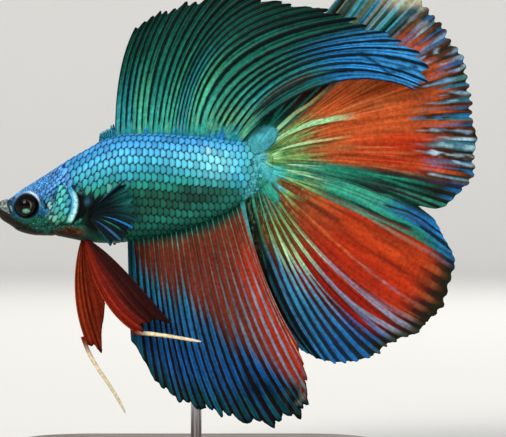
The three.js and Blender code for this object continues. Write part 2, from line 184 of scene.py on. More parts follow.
ANAL = {
    "rays": 25,
    "columns": 12,
    "rows": 90,
    "thickness": (0.55, 0.22),
    "pleat": 0.14,
    "named": [
        (0.0, (24.2, -5.2), (24.4, -12.3), (24.6, -19.7), (25.0, -24.8)),
        (0.14, (27.4, -4.6), (28.4, -14.2), (28.8, -23.4), (31.6, -34.6)),
        (0.36, (31.8, -3.6), (33.2, -15.1), (34.0, -26.1), (39.6, -38.2)),
        (0.6, (37.0, -2.0), (39.8, -15.1), (41.6, -28.0), (50.0, -40.6)),
        (0.79, (41.4, -0.2), (44.8, -13.2), (47.8, -25.2), (57.4, -38.0)),
        (0.92, (44.0, 1.4), (47.2, -10.5), (51.4, -20.6), (58.0, -32.6)),
        (1.0, (45.5, 2.4), (47.0, -7.4), (50.6, -17.8), (56.4, -26.4)),
    ],
}

# Colours of the tail fin's webs and rays. Each zone starts at a share of the fan, and its colours run out
# along the rays, each after its place.
CAUDAL_WEB = (
    # The first zone lies under the dorsal fin: its dark teal and maroon are partly painted shade.
    (0.0, "0 sea, 0.2 deep_sea, 0.34 maroon, 0.5 maroon, 0.6 tip_green, 0.86 tip_green, 1 olive"),
    (0.15, "0 leaf, 0.12 olive, 0.26 rust, 0.34 orange, 0.84 orange, 0.94 rust, 1 margin"),
    (0.4, "0 sea, 0.05 olive, 0.16 olive, 0.26 rust, 0.36 orange, 0.62 red, 0.84 red, 0.94 margin, 1 margin"),
    (0.49, "0 sea, 0.06 olive, 0.18 sea, 0.36 sea, 0.6 deep_sea, 0.8 deep_sea, 0.9 margin, 1 margin"),
    (0.59, "0 sea, 0.1 mint, 0.2 sea, 0.32 deep_sea, 0.7 deep_sea, 1 deep_blue"),
    (0.66, "0 aqua, 0.05 sea, 0.12 brown, 0.22 rust, 0.32 orange, 0.5 red, 0.84 red, 0.93 maroon, 1 margin"),
    (0.765, "0 aqua, 0.05 sea, 0.12 brown, 0.3 rust, 0.45 red, 0.84 red, 0.93 maroon, 1 margin"),
    (0.8, "0 mint, 0.08 brown, 0.32 brown, 0.44 deep_red, 0.84 deep_red, 0.95 maroon, 1 margin"),
    (0.85, "0 mint, 0.08 brown, 0.32 brown, 0.46 deep_red, 0.66 maroon, 0.84 deep_blue, 1 margin"),
    (0.9, "0 mint, 0.08 deep_sea, 0.3 brown, 0.44 maroon, 0.6 deep_blue, 1 deep_blue"),
    (0.965, "0 deep_sea, 0.3 ray_black, 1 ray_black"),
)
CAUDAL_RAYS = (
    (0.0, "0 sea, 0.3 deep_teal, 0.5 deep_teal, 0.64 lagoon, 0.86 slate, 1 slate"),
    (0.15, "0 leaf, 0.2 leaf, 0.36 orange, 1 orange"),
    (0.49, "0 pale_leaf, 0.14 pale_leaf, 0.3 sea, 0.7 sea, 0.9 deep_sea, 1 steel_blue"),
    (0.53, "0 pale_leaf, 0.14 pale_leaf, 0.3 sea, 0.66 deep_teal, 0.8 mint, 1 sea"),
    (0.555, "0 leaf, 0.14 leaf, 0.3 deep_teal, 1 deep_sea"),
    (
        0.585,
        "0 aqua, 0.08 aqua, 0.14 pale_leaf, 0.24 pale_leaf, 0.38 mint, 0.58 mint, 0.7 lagoon, "
        "0.86 steel_blue, 1 blue",
    ),
    (0.63, "0 aqua, 0.1 aqua, 0.16 leaf, 0.26 leaf, 0.36 sea, 0.6 mint, 0.8 sea, 1 steel_blue"),
    (0.67, "0 aqua, 0.12 aqua, 0.18 leaf, 0.28 rust, 0.5 red, 0.84 red, 0.93 rust, 1 margin"),
    (0.77, "0 aqua, 0.12 aqua, 0.18 leaf, 0.28 rust, 0.5 red, 0.84 red, 0.93 rust, 1 margin"),
    (0.785, "0 mint, 0.15 mint, 0.24 leaf, 0.38 pale_leaf, 0.55 lavender, 0.92 lavender, 1 olive"),
    (
        0.83,
        "0 mint, 0.15 mint, 0.24 leaf, 0.42 pale_leaf, 0.56 slate, 0.66 lavender, 0.78 violet, "
        "0.94 steel_blue, 1 olive",
    ),
    (
        0.87,
        "0 mint, 0.15 mint, 0.24 leaf, 0.38 pale_leaf, 0.5 slate, 0.64 river, 0.86 steel_blue, "
        "1 steel_blue",
    ),
    (0.93, "0 aqua, 0.08 mint, 0.26 leaf, 0.4 river, 0.7 river, 1 steel_blue"),
    (0.965, "0 mint, 0.3 mint, 0.5 lagoon, 1 lagoon"),
)

TOP_STRIPES = (
    "0 ray_black, 0.2 deep_teal, 0.34 aqua, 0.46 lagoon, 0.58 blue, 0.66 7a9c84, 0.78 9a5c34, 0.88 6c7c58,"
    "1 deep_sea"
)

# The pale rays of the tail fin's upper lobe: places out along v and their shares of the fan, half width in
# shares, where each ends and how strongly it shows.
PALE_RAYS = (
    ((0.1, 0.24, 0.33), (0.122, 0.124, 0.138), 0.012, 0.42, 0.8),
    ((0.05, 0.1, 0.225, 0.335, 0.435, 0.52), (0.2, 0.21, 0.253, 0.297, 0.318, 0.33), 0.034, 0.44, 1.0),
    ((0.07, 0.2, 0.33), (0.37, 0.388, 0.395), 0.009, 0.4, 0.85),
)

PECTORAL = {
    "rays": 10,
    "columns": 10,
    "rows": 44,
    "thickness": (0.4, 0.14),
    "pleat": 0.08,
    "named": [
        (0.0, (17.6, -0.4), (20.6, 2.2), (22.8, 4.2), (24.6, 5.7)),
        (0.3, (17.8, -0.7), (21.0, 0.8), (23.8, 2.0), (26.0, 2.6)),
        (0.6, (17.9, -1.2), (21.2, -1.0), (24.4, -1.8), (26.8, -3.2)),
        (0.8, (17.8, -1.6), (20.4, -2.2), (23.4, -3.8), (25.4, -6.0)),
        (1.0, (17.5, -2.0), (18.8, -3.6), (20.2, -5.2), (21.4, -7.0)),
    ],
}

PELVIC_NEAR = {
    "rays": 6,
    "columns": 12,
    "rows": 70,
    "thickness": (0.6, 0.26),
    "pleat": 0.12,
    "named": [
        (0.0, (16.4, -6.0), (17.3, -13.2), (21.3, -21.0), (27.2, -23.2)),
        (0.5, (16.9, -6.0), (19.5, -11.2), (23.4, -17.6), (28.2, -21.0)),
        (1.0, (17.4, -6.0), (21.3, -8.1), (26.5, -14.2), (32.6, -21.2)),
    ],
    "filament": [(25.4, -22.7), (29.8, -22.9), (33.4, -23.6), (38.0, -24.4)],
}

PELVIC_FAR = {
    "rays": 6,
    "columns": 12,
    "rows": 70,
    "thickness": (0.6, 0.26),
    "pleat": 0.12,
    "named": [
        (0.0, (15.6, -5.8), (13.9, -11.4), (13.8, -18.8), (16.6, -25.2)),
        (0.5, (15.9, -5.8), (15.6, -12.0), (16.0, -18.4), (19.2, -27.0)),
        (1.0, (16.3, -5.8), (17.4, -10.8), (19.1, -14.2), (19.9, -17.7)),
    ],
    "filament": [(15.8, -23.8), (17.4, -29.6), (20.6, -31.4), (23.7, -38.1)],
}


# ---- curves --------------------------------------------------------------------------------------


def smooth(low, high, value):
    """0 below low, 1 above high, and an eased step between."""
    t = np.clip((value - low) / (high - low), 0.0, 1.0)
    return t * t * (3.0 - 2.0 * t)


def bump(centre, width, value):
    """A bell, 1 at its centre."""
    return np.exp(-(((value - centre) / width) ** 2))


def band(low, high, soft, value):
    """1 between low and high, with soft ends."""
    return smooth(low - soft, low + soft, value) * (1.0 - smooth(high - soft, high + soft, value))


def spot(along, up, centre, radii):
    """A soft oval spot on the side of the fish."""
    return np.exp(-(((along - centre[0]) / radii[0]) ** 2) - ((up - centre[1]) / radii[1]) ** 2)


def through(knots, values, at):
    """A smooth curve through (knot, value) pairs, with no overshoot between them."""
    knots, values = np.asarray(knots, float), np.asarray(values, float)
    slope = np.diff(values) / np.diff(knots)
    tangent = np.concatenate((slope[:1], slope[1:], slope[-1:]))
    before, after = slope[:-1], slope[1:]
    same_way = before * after > 0
    total = np.where(same_way, before + after, 1.0)
    tangent[1:-1] = np.where(same_way, 2.0 * before * after / total, 0.0)
    t = np.clip(at, knots[0], knots[-1])
    i = np.clip(np.searchsorted(knots, t) - 1, 0, len(knots) - 2)
    span = knots[i + 1] - knots[i]
    s = (t - knots[i]) / span
    return (
        values[i] * (1 + 2 * s) * (1 - s) ** 2
        + tangent[i] * span * s * (1 - s) ** 2
        + values[i + 1] * s * s * (3 - 2 * s)
        + tangent[i + 1] * span * s * s * (s - 1)
    )


def cubic(points, t):
    """A point on the cubic curve of four control points."""
    weights = ((1 - t) ** 3, 3 * (1 - t) ** 2 * t, 3 * (1 - t) * t * t, t ** 3)
    return sum(weight * point for weight, point in zip(weights, points))


def line_at(line, up):
    """How far along a line on the head lies at a height; its ends carry on straight up and down."""
    ups, alongs = zip(*line)
    return np.interp(up, ups, alongs)


def from_eye(along, up):
    """Distance from the middle of the eye."""
    return np.hypot(along - EYE["along"], up - EYE["up"])


def wobble(value, seed):
    """A slow, smooth irregularity between about -1 and 1, the same each run."""
    return (
        0.5 * np.sin(1.0 * value + 1.7 * seed)
        + 0.3 * np.sin(2.3 * value + 4.1 * seed + 0.9)
        + 0.2 * np.sin(4.7 * value + 2.9 * seed + 2.2)
    )


def mottle(x, y, seed):
    """A smooth random unevenness between 0 and 1, whose blotches are about one unit apart."""
    table = np.random.default_rng(seed).random((64, 64))
    x, y = np.broadcast_arrays(np.asarray(x, float), np.asarray(y, float))
    column, row = np.floor(x).astype(int), np.floor(y).astype(int)
    s, t = smooth(0, 1, x - column), smooth(0, 1, y - row)
    near, far, low, high = column % 64, (column + 1) % 64, row % 64, (row + 1) % 64
    below = table[near, low] * (1 - s) + table[far, low] * s
    above = table[near, high] * (1 - s) + table[far, high] * s
    return below * (1 - t) + above * t


def chances(seed, index):
    """Four random values between 0 and 1 for each whole number, the same each run."""
    return np.random.default_rng(seed).random((128, 4))[index % 128]


# ---- colour --------------------------------------------------------------------------------------


def linear(hex_colour):
    """An sRGB hex colour as linear RGB."""
    channels = [int(hex_colour[i : i + 2], 16) / 255 for i in (0, 2, 4)]
    return tuple(c / 12.92 if c <= 0.04045 else ((c + 0.055) / 1.055) ** 2.4 for c in channels)


def rgba(hex_colour):
    return (*linear(hex_colour), 1.0)


def layer(under, over, amount):
    """Lays a colour over others, as thickly as amount says at each place. A colour can be a hex code."""
    under, over = (np.atleast_2d(linear(tone) if isinstance(tone, str) else tone) for tone in (under, over))
    return under + (over - under) * np.asarray(amount, float)[:, None]


def layers(colours, coats):
    """Lays coats over colours one after another, each as (colour, amount)."""
    for over, amount in coats:
        colours = layer(colours, over, amount)
    return colours


def tones(look, run, t):
    """Colours along a run, written as place and colour by turns: a colour of the settings or a hex code."""
    steps = [step.split() for step in run.split(",")]
    places = [float(place) for place, _ in steps]
    colours = np.array([getattr(look, tone)[:] if hasattr(look, tone) else linear(tone) for _, tone in steps])
    return np.stack([np.interp(t, places, colours[:, channel]) for channel in range(3)], axis=1)


def zoned(look, zones, soft, u, v):
    """Runs of colour out along the rays, zone by zone across a fan; each zone starts at its own share."""
    colours = np.zeros((len(u), 3))
    for start, run in zones:
        amount = smooth(start - soft, start + soft, u) if start > 0 else np.ones(len(u))
        colours = layer(colours, tones(look, run, v), amount)
    return colours


# ---- meshes --------------------------------------------------------------------------------------


def to_frame(along, out, up):
    """Fish millimetres as points of the frame, in metres."""
    return np.stack((SNOUT.x + along * MM, out * MM, SNOUT.z + up * MM), axis=1)


def points_of(mesh, of="co"):
    """The places of a mesh's vertices, or their normals."""
    values = np.empty(len(mesh.vertices) * 3)
    mesh.vertices.foreach_get(of, values)
    return values.reshape(-1, 3)


def move_points(mesh, points):
    mesh.vertices.foreach_set("co", points.ravel())
    mesh.update()


def mesh_from(name, bm):
    mesh = bpy.data.meshes.new(name)
    bm.to_mesh(mesh)
    bm.free()
    return mesh


def show(name, data):
    """Adds an object to the scene."""
    shown = bpy.data.objects.new(name, data)
    bpy.context.scene.collection.objects.link(shown)
    return shown


def paint(mesh, colours, alpha=None, name="Marking"):
    """Stores a colour for each vertex, with a mask in its alpha."""
    values = np.ones((len(mesh.vertices), 4))
    values[:, :3] = np.clip(colours, 0.0, 1.0)
    if alpha is not None:
        values[:, 3] = alpha
    mesh.attributes.new(name, "FLOAT_COLOR", "POINT").data.foreach_set("color", values.ravel())


def unwrap(mesh, name, places):
    """A UV map from one place for each vertex."""
    corners = np.empty(len(mesh.loops), int)
    mesh.loops.foreach_get("vertex_index", corners)
    mesh.uv_layers.new(name=name).data.foreach_set("uv", np.asarray(places)[corners].ravel())


def face_outwards(mesh):
    bm = bmesh.new()
    bm.from_mesh(mesh)
    bmesh.ops.recalc_face_normals(bm, faces=bm.faces)
    bm.to_mesh(mesh)
    bm.free()


def close_mesh(bm):
    """Fills the open ends of a form and turns its faces outwards."""
    bmesh.ops.holes_fill(bm, edges=[edge for edge in bm.edges if edge.is_boundary], sides=0)
    bmesh.ops.recalc_face_normals(bm, faces=bm.faces)


def add_piece(name, mesh, material, slot, *nodes):
    """Shows a mesh as a piece of the fish, in place of its CAD nodes."""
    piece = show(name, mesh)
    mesh.materials.append(material)
    mesh.shade_smooth()
    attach(piece, "root")
    if nodes:
        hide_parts(*nodes)
    return piece


# ---- materials -----------------------------------------------------------------------------------


def new_material(name):
    material = bpy.data.materials.new(name)
    material.use_nodes = True
    return material


def connect(material, socket, value):
    """Sets a socket, or links it to another socket or to a node's first output that is in use."""
    if isinstance(value, bpy.types.Node):
        value = next(output for output in value.outputs if output.enabled)
    if isinstance(value, bpy.types.NodeSocket):
        material.node_tree.links.new(value, socket)
    else:
        socket.default_value = value


def node(material, kind, inputs=(), **settings):
    """Adds a shader node with its settings, and sets or links its inputs, by name or in their own order."""
    made = material.node_tree.nodes.new("ShaderNode" + kind)
    for name, value in settings.items():
        setattr(made, name, value)
    for name, value in inputs.items() if isinstance(inputs, dict) else enumerate(inputs):
        connect(material, made.inputs[name], value)
    return made


def shade(material, **sockets):
    """Sets or links the sockets of a material's own Principled shader."""
    shader = material.node_tree.nodes["Principled BSDF"]
    for name, value in sockets.items():
        connect(material, shader.inputs[name.replace("_", " ")], value)


def skin_material():
    """Bare fish skin, moist: fine pebbles of pigment with dark seams on the head, under a thin gloss."""
    material = new_material("Bare fish skin, moist")
    place = node(material, "TexCoord").outputs["Object"]
    marking = node(material, "Attribute", attribute_name="Marking")
    freckle = {"Vector": place, "Scale": 4200.0, "Detail": 4.0, "Roughness": 0.65}
    freckles = node(material, "TexNoise", freckle)
    strength = node(material, "MapRange", (freckles, 0.36, 0.64, 0.6, 1.36))
    pebble_scale = {"Vector": place, "Scale": 2100.0}
    seams = node(material, "TexVoronoi", pebble_scale, feature="DISTANCE_TO_EDGE")
    pebbles = node(material, "TexVoronoi", pebble_scale, feature="F1").outputs["Color"]
    tone = node(material, "SeparateXYZ", (pebbles,))
    seam = node(material, "MapRange", (seams, 0.02, 0.2, 0.3, 1.0), interpolation_type="SMOOTHSTEP")
    cell = node(material, "MapRange", {"Value": tone, "To Min": 0.6, "To Max": 1.5})
    pebble = node(material, "Math", (seam, cell), operation="MULTIPLY")
    masked = node(material, "Mix", {0: marking.outputs["Alpha"], 2: 1.0, 3: pebble}, data_type="FLOAT")
    both = node(material, "Math", (strength, masked), operation="MULTIPLY")
    shade(
        material,
        Base_Color=node(material, "VectorMath", {0: marking, "Scale": both}, operation="SCALE"),
        Roughness=node(material, "MapRange", (freckles, 0.3, 0.7, 0.5, 0.36)),
        Normal=node(material, "Bump", {"Height": masked, "Strength": 0.35, "Distance": 0.0001}),
        IOR=1.42,
        Specular_IOR_Level=0.12,
    )
    return material


def scale_material():
    """Fish scale: thin bone over bright crystals, a pale blunt oval with a dark seam where the next start;
    the seam is partly the scale's own outline and partly painted shade under the overlapping scale, and the
    middle carries a painted highlight.
    """
    material = new_material("Fish scale, iridescent")
    marking = node(material, "Attribute", attribute_name="Marking")
    on_plate = node(material, "UVMap", uv_map="Plate")
    place = node(material, "TexCoord").outputs["Object"]
    flecks = node(material, "TexNoise", {"Vector": place, "Scale": 3600.0, "Detail": 3.0, "Roughness": 0.6})
    uneven = node(material, "MapRange", (flecks, 0.3, 0.7, -0.12, 0.12))
    plan = node(material, "SeparateXYZ", (on_plate,)).outputs
    # The part of a scale that shows is an oval: how far out a place lies in it, 1 at the rim.
    parts = []
    for value, middle, half, power in ((plan["X"], 0.69, 0.33, 1.6), (plan["Y"], 0.5, 0.47, 1.8)):
        aside = node(material, "Math", (value, middle), operation="SUBTRACT")
        wide = node(material, "Math", (aside,), operation="ABSOLUTE")
        share = node(material, "Math", (wide, half), operation="DIVIDE")
        parts.append(node(material, "Math", (share, power), operation="POWER"))
    plain = node(material, "Math", parts, operation="ADD")
    from_middle = node(material, "Math", (plain, uneven), operation="ADD")
    # Darker at the rim and brightest in the middle: partly the scale's own dark outline, partly painted shade
    # where the next scale overlaps and a painted highlight in the middle.
    seam, middle = (
        node(material, "MapRange", (from_middle, *limits), interpolation_type="SMOOTHSTEP")
        for limits in ((0.76, 1.06, 1.0, 0.2), (0.0, 0.85, 1.14, 0.88))
    )
    lit = node(material, "Math", (seam, middle), operation="MULTIPLY")
    rings = node(material, "Math", (plan["X"], 60.0), operation="MULTIPLY")
    ridges = node(material, "Math", (rings,), operation="SINE")
    shade(
        material,
        Base_Color=node(material, "VectorMath", {0: marking, "Scale": lit}, operation="SCALE"),
        Metallic=0.12,
        Roughness=0.4,
        Normal=node(material, "Bump", {"Height": ridges, "Strength": 0.12, "Distance": 0.00004}),
        IOR=1.53,
        Specular_IOR_Level=0.16,
        Coat_Weight=0.05,
        Coat_Roughness=0.2,
    )
    return material


def fin_material(name, gloss):
    """Fin: thin skin stretched over bony rays, with fine fibres that run out along the rays."""
    material = new_material(name)
    marking = node(material, "Attribute", attribute_name="Marking")
    on_fin = node(material, "UVMap", uv_map="Rays")
    stretched = node(material, "Mapping", {"Vector": on_fin, "Scale": (4.0, 3.0, 1.0)})
    fibres = node(material, "TexNoise", {"Vector": stretched, "Scale": 1.0, "Detail": 3.0, "Roughness": 0.55})
    place = node(material, "TexCoord").outputs["Object"]
    cells = node(material, "TexNoise", {"Vector": place, "Scale": 1600.0, "Detail": 2.0, "Roughness": 0.55})
    both = node(material, "Math", (fibres, cells), operation="ADD")
    strength = node(material, "MapRange", (both, 0.75, 1.25, 0.66, 1.34))
    rough = {"Value": marking.outputs["Alpha"], "To Min": gloss + 0.12, "To Max": gloss}
    shade(
        material,
        Base_Color=node(material, "VectorMath", {0: marking, "Scale": strength}, operation="SCALE"),
        Roughness=node(material, "MapRange", rough),
        Normal=node(material, "Bump", {"Height": fibres, "Strength": 0.3, "Distance": 0.0001}),
        IOR=1.42,
        Specular_IOR_Level=0.08,
    )
    return material


def eye_material():
    """Eye: a clear wet cornea over a near-black iris, as smooth as glass."""
    material = new_material("Fish eye, wet cornea")
    marking = node(material, "Attribute", attribute_name="Marking")
    place = node(material, "TexCoord").outputs["Object"]
    flecks = node(material, "TexNoise", {"Vector": place, "Scale": 5200.0, "Detail": 2.0})
    strength = node(material, "MapRange", (flecks, 0.35, 0.65, 0.7, 1.3))
    colour = node(material, "VectorMath", {0: marking, "Scale": strength}, operation="SCALE")
    shade(material, Base_Color=colour, Roughness=0.1, IOR=1.376, Specular_IOR_Level=0.22)
    return material


def wood_material():
    """Oiled walnut, sanded smooth: long brown figure along the base and fine dark pores."""
    material = new_material("Walnut, oiled")
    place = node(material, "TexCoord").outputs["Object"]
    # Growth rings about 3 mm apart across the grain, drawn out tenfold along it.
    along_grain = node(material, "Mapping", {"Vector": place, "Scale": (32.0, 330.0, 330.0)})
    grain = {"Vector": along_grain, "Scale": 1.0, "Detail": 5.0, "Distortion": 0.7}
    figure = node(material, "TexNoise", grain)
    pore_place = node(material, "Mapping", {"Vector": place, "Scale": (260.0, 5200.0, 5200.0)})
    pores = node(material, "TexNoise", {"Vector": pore_place, "Scale": 1.0, "Detail": 2.0})
    tone = node(material, "MapRange", (figure, 0.34, 0.68))
    brown = node(material, "Mix", {0: tone, 6: rgba("3a2215"), 7: rgba("7a5033")}, data_type="RGBA")
    pore = node(material, "MapRange", (pores, 0.62, 0.7))
    relief = {"Height": pore, "Strength": 0.4, "Distance": 0.00005}
    shade(
        material,
        Base_Color=node(material, "Mix", {0: pore, 6: brown, 7: rgba("24140c")}, data_type="RGBA"),
        Roughness=node(material, "MapRange", {"Value": tone, "To Min": 0.42, "To Max": 0.33}),
        Normal=node(material, "Bump", relief, invert=True),
        IOR=1.52,
    )
    return material


def steel_material():
    """Stainless steel rod, brushed along its length: fine bright and dull lines."""
    material = new_material("Stainless steel, brushed")
    place = node(material, "TexCoord").outputs["Object"]
    lengthwise = node(material, "Mapping", {"Vector": place, "Scale": (9000.0, 9000.0, 160.0)})
    lines = node(material, "TexNoise", {"Vector": lengthwise, "Scale": 1.0, "Detail": 3.0})
    shade(
        material,
        Base_Color=node(material, "Mix", {0: lines, 6: rgba("a9abad"), 7: rgba("c9cacc")}, data_type="RGBA"),
        Metallic=1.0,
        Roughness=node(material, "MapRange", {"Value": lines, "To Min": 0.2, "To Max": 0.38}),
        Normal=node(material, "Bump", {"Height": lines, "Strength": 0.25, "Distance": 0.00002}),
    )
    return material


# ---- settings ------------------------------------------------------------------------------------


def length_setting(name, text, millimetres, low=0.0):
    return FloatProperty(
        name=name, description=text, default=millimetres * MM, min=low, subtype="DISTANCE", unit="LENGTH"
    )


def colour_setting(name, text, hex_colour):
    return FloatVectorProperty(
        name=name, description=text, default=linear(hex_colour), min=0, max=1, subtype="COLOR"
    )


class BodySettings(bpy.types.PropertyGroup):
    """Sizes and colours of the skin and its scales"""

    coat: length_setting("Coat", "How far the skin lies inside the outer surface of the scales", 0.13)
    scale_pitch: length_setting("Scale pitch", "Distance between scales along a row", 1.1)
    scale_gap: length_setting("Row gap", "Distance between rows of scales", 1.56)
    head_pitch: length_setting("Head scale pitch", "Distance between the small scales of the head", 0.72)
    forehead: colour_setting("Forehead", "Skin of the forehead and nape", "549fe6")
    head_side: colour_setting("Head side", "Skin behind the eye", "1c6696")
    cheek: colour_setting("Cheek", "Skin below the eye", "1c6654")
    gill_cover: colour_setting("Gill cover", "Plates of the gill cover", "48b4ae")
    gill_rim: colour_setting("Gill rim", "Pale rear rim of the gill cover", "b8eef0")
    snout: colour_setting("Snout", "Speckled skin of the lips", "5a6864")
    chin: colour_setting("Chin", "Skin of the lower jaw", "1c140c")
    throat: colour_setting("Throat", "Skin under the gill covers", "4a2a10")
    # Painted shade: the opening behind the gill cover is painted near black.
    gap: colour_setting("Gill gap", "The dark opening behind the gill cover", "010304")
    back: colour_setting("Back", "Scales of the back", "409cdc")
    flank: colour_setting("Flank", "Scales of the upper flank", "34a6c2")
    low_flank: colour_setting("Lower flank", "Scales between the bright flank and the dark belly", "1f8878")
    belly: colour_setting("Belly", "Scales of the belly", "10503f")
    # Painted highlight: the bright glint on the scales of the rear flank.
    rear_flank_glint: colour_setting("Rear flank", "The palest scales, before the tail", "86e2f0")
    tail_root: colour_setting("Tail root", "Skin of the tail root", "46a8ae")
    seed: IntProperty(name="Seed", description="Choice of the scales' small differences", default=7, min=0)


class FinSettings(bpy.types.PropertyGroup):
    """Colours of the fins"""

    teal: colour_setting("Teal", "Bands of the dorsal fin near the body", "2c9a8e")
    deep_teal: colour_setting("Deep teal", "Bands of the dorsal fin half way out", "14695c")
    tip_green: colour_setting("Tip green", "Bands of the dorsal fin at its margin", "0a3c31")
    lagoon: colour_setting("Lagoon", "Between teal and blue", "1a7490")
    blue: colour_setting("Blue", "Rear bands of the dorsal fin", "1f7cc0")
    sky: colour_setting("Sky", "Brightest blue of the fins", "3f9cde")
    ray_black: colour_setting("Ray black", "Dark rays and folds", "010707")
    maroon: colour_setting("Maroon", "Dark brown-red of the shaded folds", "34110c")
    orange: colour_setting("Orange", "Upper field of the tail fin", "bc5124")
    rust: colour_setting("Rust", "Brown-orange webs at the ends of the fields", "7e4020")
    red: colour_setting("Red", "Middle of the red fields", "a82c0e")
    deep_red: colour_setting("Deep red", "Lower red fields", "8a1806")
    brick: colour_setting("Brick", "Dull red of the anal fin near the body", "642619")
    brown: colour_setting("Brown", "Webs between the roots of the lower tail rays", "5e3a1c")
    olive: colour_setting("Olive", "Webs between the roots of the upper tail rays", "5c6030")
    leaf: colour_setting("Leaf", "Yellow-green roots of the tail's rays", "7aa860")
    pale_leaf: colour_setting("Pale leaf", "Brightest pale green rays", "a2d8a0")
    aqua: colour_setting("Aqua", "Very roots of the tail fin's rays", "4ab8c0")
    mint: colour_setting("Mint", "Lit green-teal rays of the tail fin", "349c84")
    sea: colour_setting("Sea", "Green folds of the tail fin", "1f7860")
    deep_sea: colour_setting("Deep sea", "Dark webs of the green folds", "0a2e28")
    lavender: colour_setting("Lavender", "Grey-violet rays between the red webs", "8a8ea6")
    violet: colour_setting("Violet", "Blue-violet outer rays of the lower tail", "4468b0")
    steel_blue: colour_setting("Steel blue", "Rays of the lower tail and anal fins", "1e629e")
    river: colour_setting("River", "Teal-blue rays of the lower tail lobe", "3484ac")
    slate: colour_setting("Slate", "Grey-blue rays at the top and the bottom of the tail fin", "6c9cae")
    deep_blue: colour_setting("Deep blue", "Webs of the blue fields", "0c2436")
    frost: colour_setting("Frost", "Blue-white streaks of the tail fin's margin", "a8ccdc")
    margin: colour_setting("Margin", "Dark olive web at the margins", "161a10")
    cream: colour_setting("Cream", "Long tips of the pelvic fins", "e6d6ae")
    pelvic_red: colour_setting("Pelvic red", "Near pelvic fin", "6c1006")
    pelvic_orange: colour_setting("Pelvic orange", "Far pelvic fin", "7c240e")
    pelvic_dark: colour_setting("Pelvic dark", "Shaded half of the pelvic fins", "160403")
    pectoral_dark: colour_setting("Pectoral dark", "Web of the pectoral fins", "071519")


class StandSettings(bpy.types.PropertyGroup):
    """Sizes of the stand's finish"""

    rod_edge: length_setting("Rod edge", "Radius of the rod's rounded ends", 0.12)
    edge: length_setting("Edge", "Radius of the base's rounded edges", 0.8)
    corner: length_setting("Corner", "Radius of the base's corners in plan", 12.8)


class StageSettings(bpy.types.PropertyGroup):
    """The camera's place and the floor"""

    view_along: length_setting("View along", "What the camera centres on, behind the tip of the snout", 47.3)
    view_height: length_setting("View height", "What it centres on, above the tip of the snout", -1.93, -1.0)
    distance: length_setting("Distance", "From the camera to the fish", 500)
    view_width: length_setting("View width", "Width of the view in the plane of the fish", 93.1)
    floor: colour_setting("Floor", "Pale paper of the floor and the wall behind", "f0eee9")


# ---- body ----------------------------------------------------------------------------------------

STATION_AT = np.linspace(0.0, 1.0, len(BODY_STATIONS))
FINE_SHARES = np.linspace(0.0, 1.0, 4001)
FINE_ALONG = through(STATION_AT, BODY_STATIONS[:, 0], FINE_SHARES)


def body_row(along):
    """Share of the body's length, top, bottom and half width at a place along it."""
    share = np.interp(along, FINE_ALONG, FINE_SHARES)
    top, bottom, half = (through(STATION_AT, BODY_STATIONS[:, column], share) for column in (1, 2, 3))
    return share, top, bottom, half


def flank(along, angle, swell):
    """A point of the body's surface: angle is 0 at the back, pi at the belly and negative on the left."""
    share, top, bottom, half = body_row(along)
    level = (top + bottom) / 2
    across, height = np.sin(angle), np.cos(angle)
    across = np.sign(across) * np.abs(across) ** SECTION_POWER
    height = np.sign(height) * np.abs(height) ** SECTION_POWER
    reach = (top - bottom) / 2 + swell
    end = np.cos(share * math.pi)
    return np.stack((along - end * swell, across * (half + swell), level + height * reach), axis=1)


GIRTH_ALONG = np.linspace(0.0, BODY_END, 420)
GIRTH_ANGLES = np.linspace(0.0, math.pi, 181)
GIRTH_SHARES = np.linspace(0.0, 1.0, 201)


def girth_tables():
    """Half the girth at each place along, and the angle at each share of the way from back to belly."""
    along, angle = np.meshgrid(GIRTH_ALONG, GIRTH_ANGLES, indexing="ij")
    section = flank(along.ravel(), angle.ravel(), 0.0).reshape(*along.shape, 3)
    steps = np.linalg.norm(np.diff(section, axis=1), axis=2)
    reach = np.concatenate((np.zeros((len(steps), 1)), np.cumsum(steps, axis=1)), axis=1)
    girth = np.maximum(reach[:, -1], 1e-3)
    angles = [np.interp(GIRTH_SHARES, row / total, GIRTH_ANGLES) for row, total in zip(reach, girth)]
    return girth, np.array(angles)


GIRTH, ANGLE_TABLE = girth_tables()


def girth_at(along):
    """Half the girth at a place along the fish."""
    return np.interp(along, GIRTH_ALONG, GIRTH)


def angle_at(along, share):
    """The angle round the body at a share of the way from back to belly."""
    row = np.clip(along / BODY_END, 0, 1) * (len(GIRTH_ALONG) - 1)
    column = np.clip(share, 0, 1) * (len(GIRTH_SHARES) - 1)
    i = np.minimum(row.astype(int), len(GIRTH_ALONG) - 2)
    j = np.minimum(column.astype(int), len(GIRTH_SHARES) - 2)
    p, q = row - i, column - j
    upper = ANGLE_TABLE[i, j] * (1 - q) + ANGLE_TABLE[i, j + 1] * q
    lower = ANGLE_TABLE[i + 1, j] * (1 - q) + ANGLE_TABLE[i + 1, j + 1] * q
    return upper * (1 - p) + lower * p


def cover_shape(along, up):
    """How much a place belongs to the gill cover, and to the dark gap behind it."""
    tall = smooth(-3.3, -2.4, up) * (1 - smooth(3.8, 4.5, up))
    front, rear, outer = (line_at(line, up) for line in (COVER_FRONT, COVER_REAR, GAP_REAR))
    cover = band(front, rear, 0.12, along) * tall
    gap = smooth(rear - 0.02, rear + 0.12, along) * (1 - smooth(outer - 0.12, outer + 0.12, along)) * tall
    return cover, gap


def gape_height(along):
    """Height of the mouth's line."""
    (start, start_up), (end, end_up) = GAPE["start"], GAPE["end"]
    return start_up + (end_up - start_up) * (along - start) / (end - start)


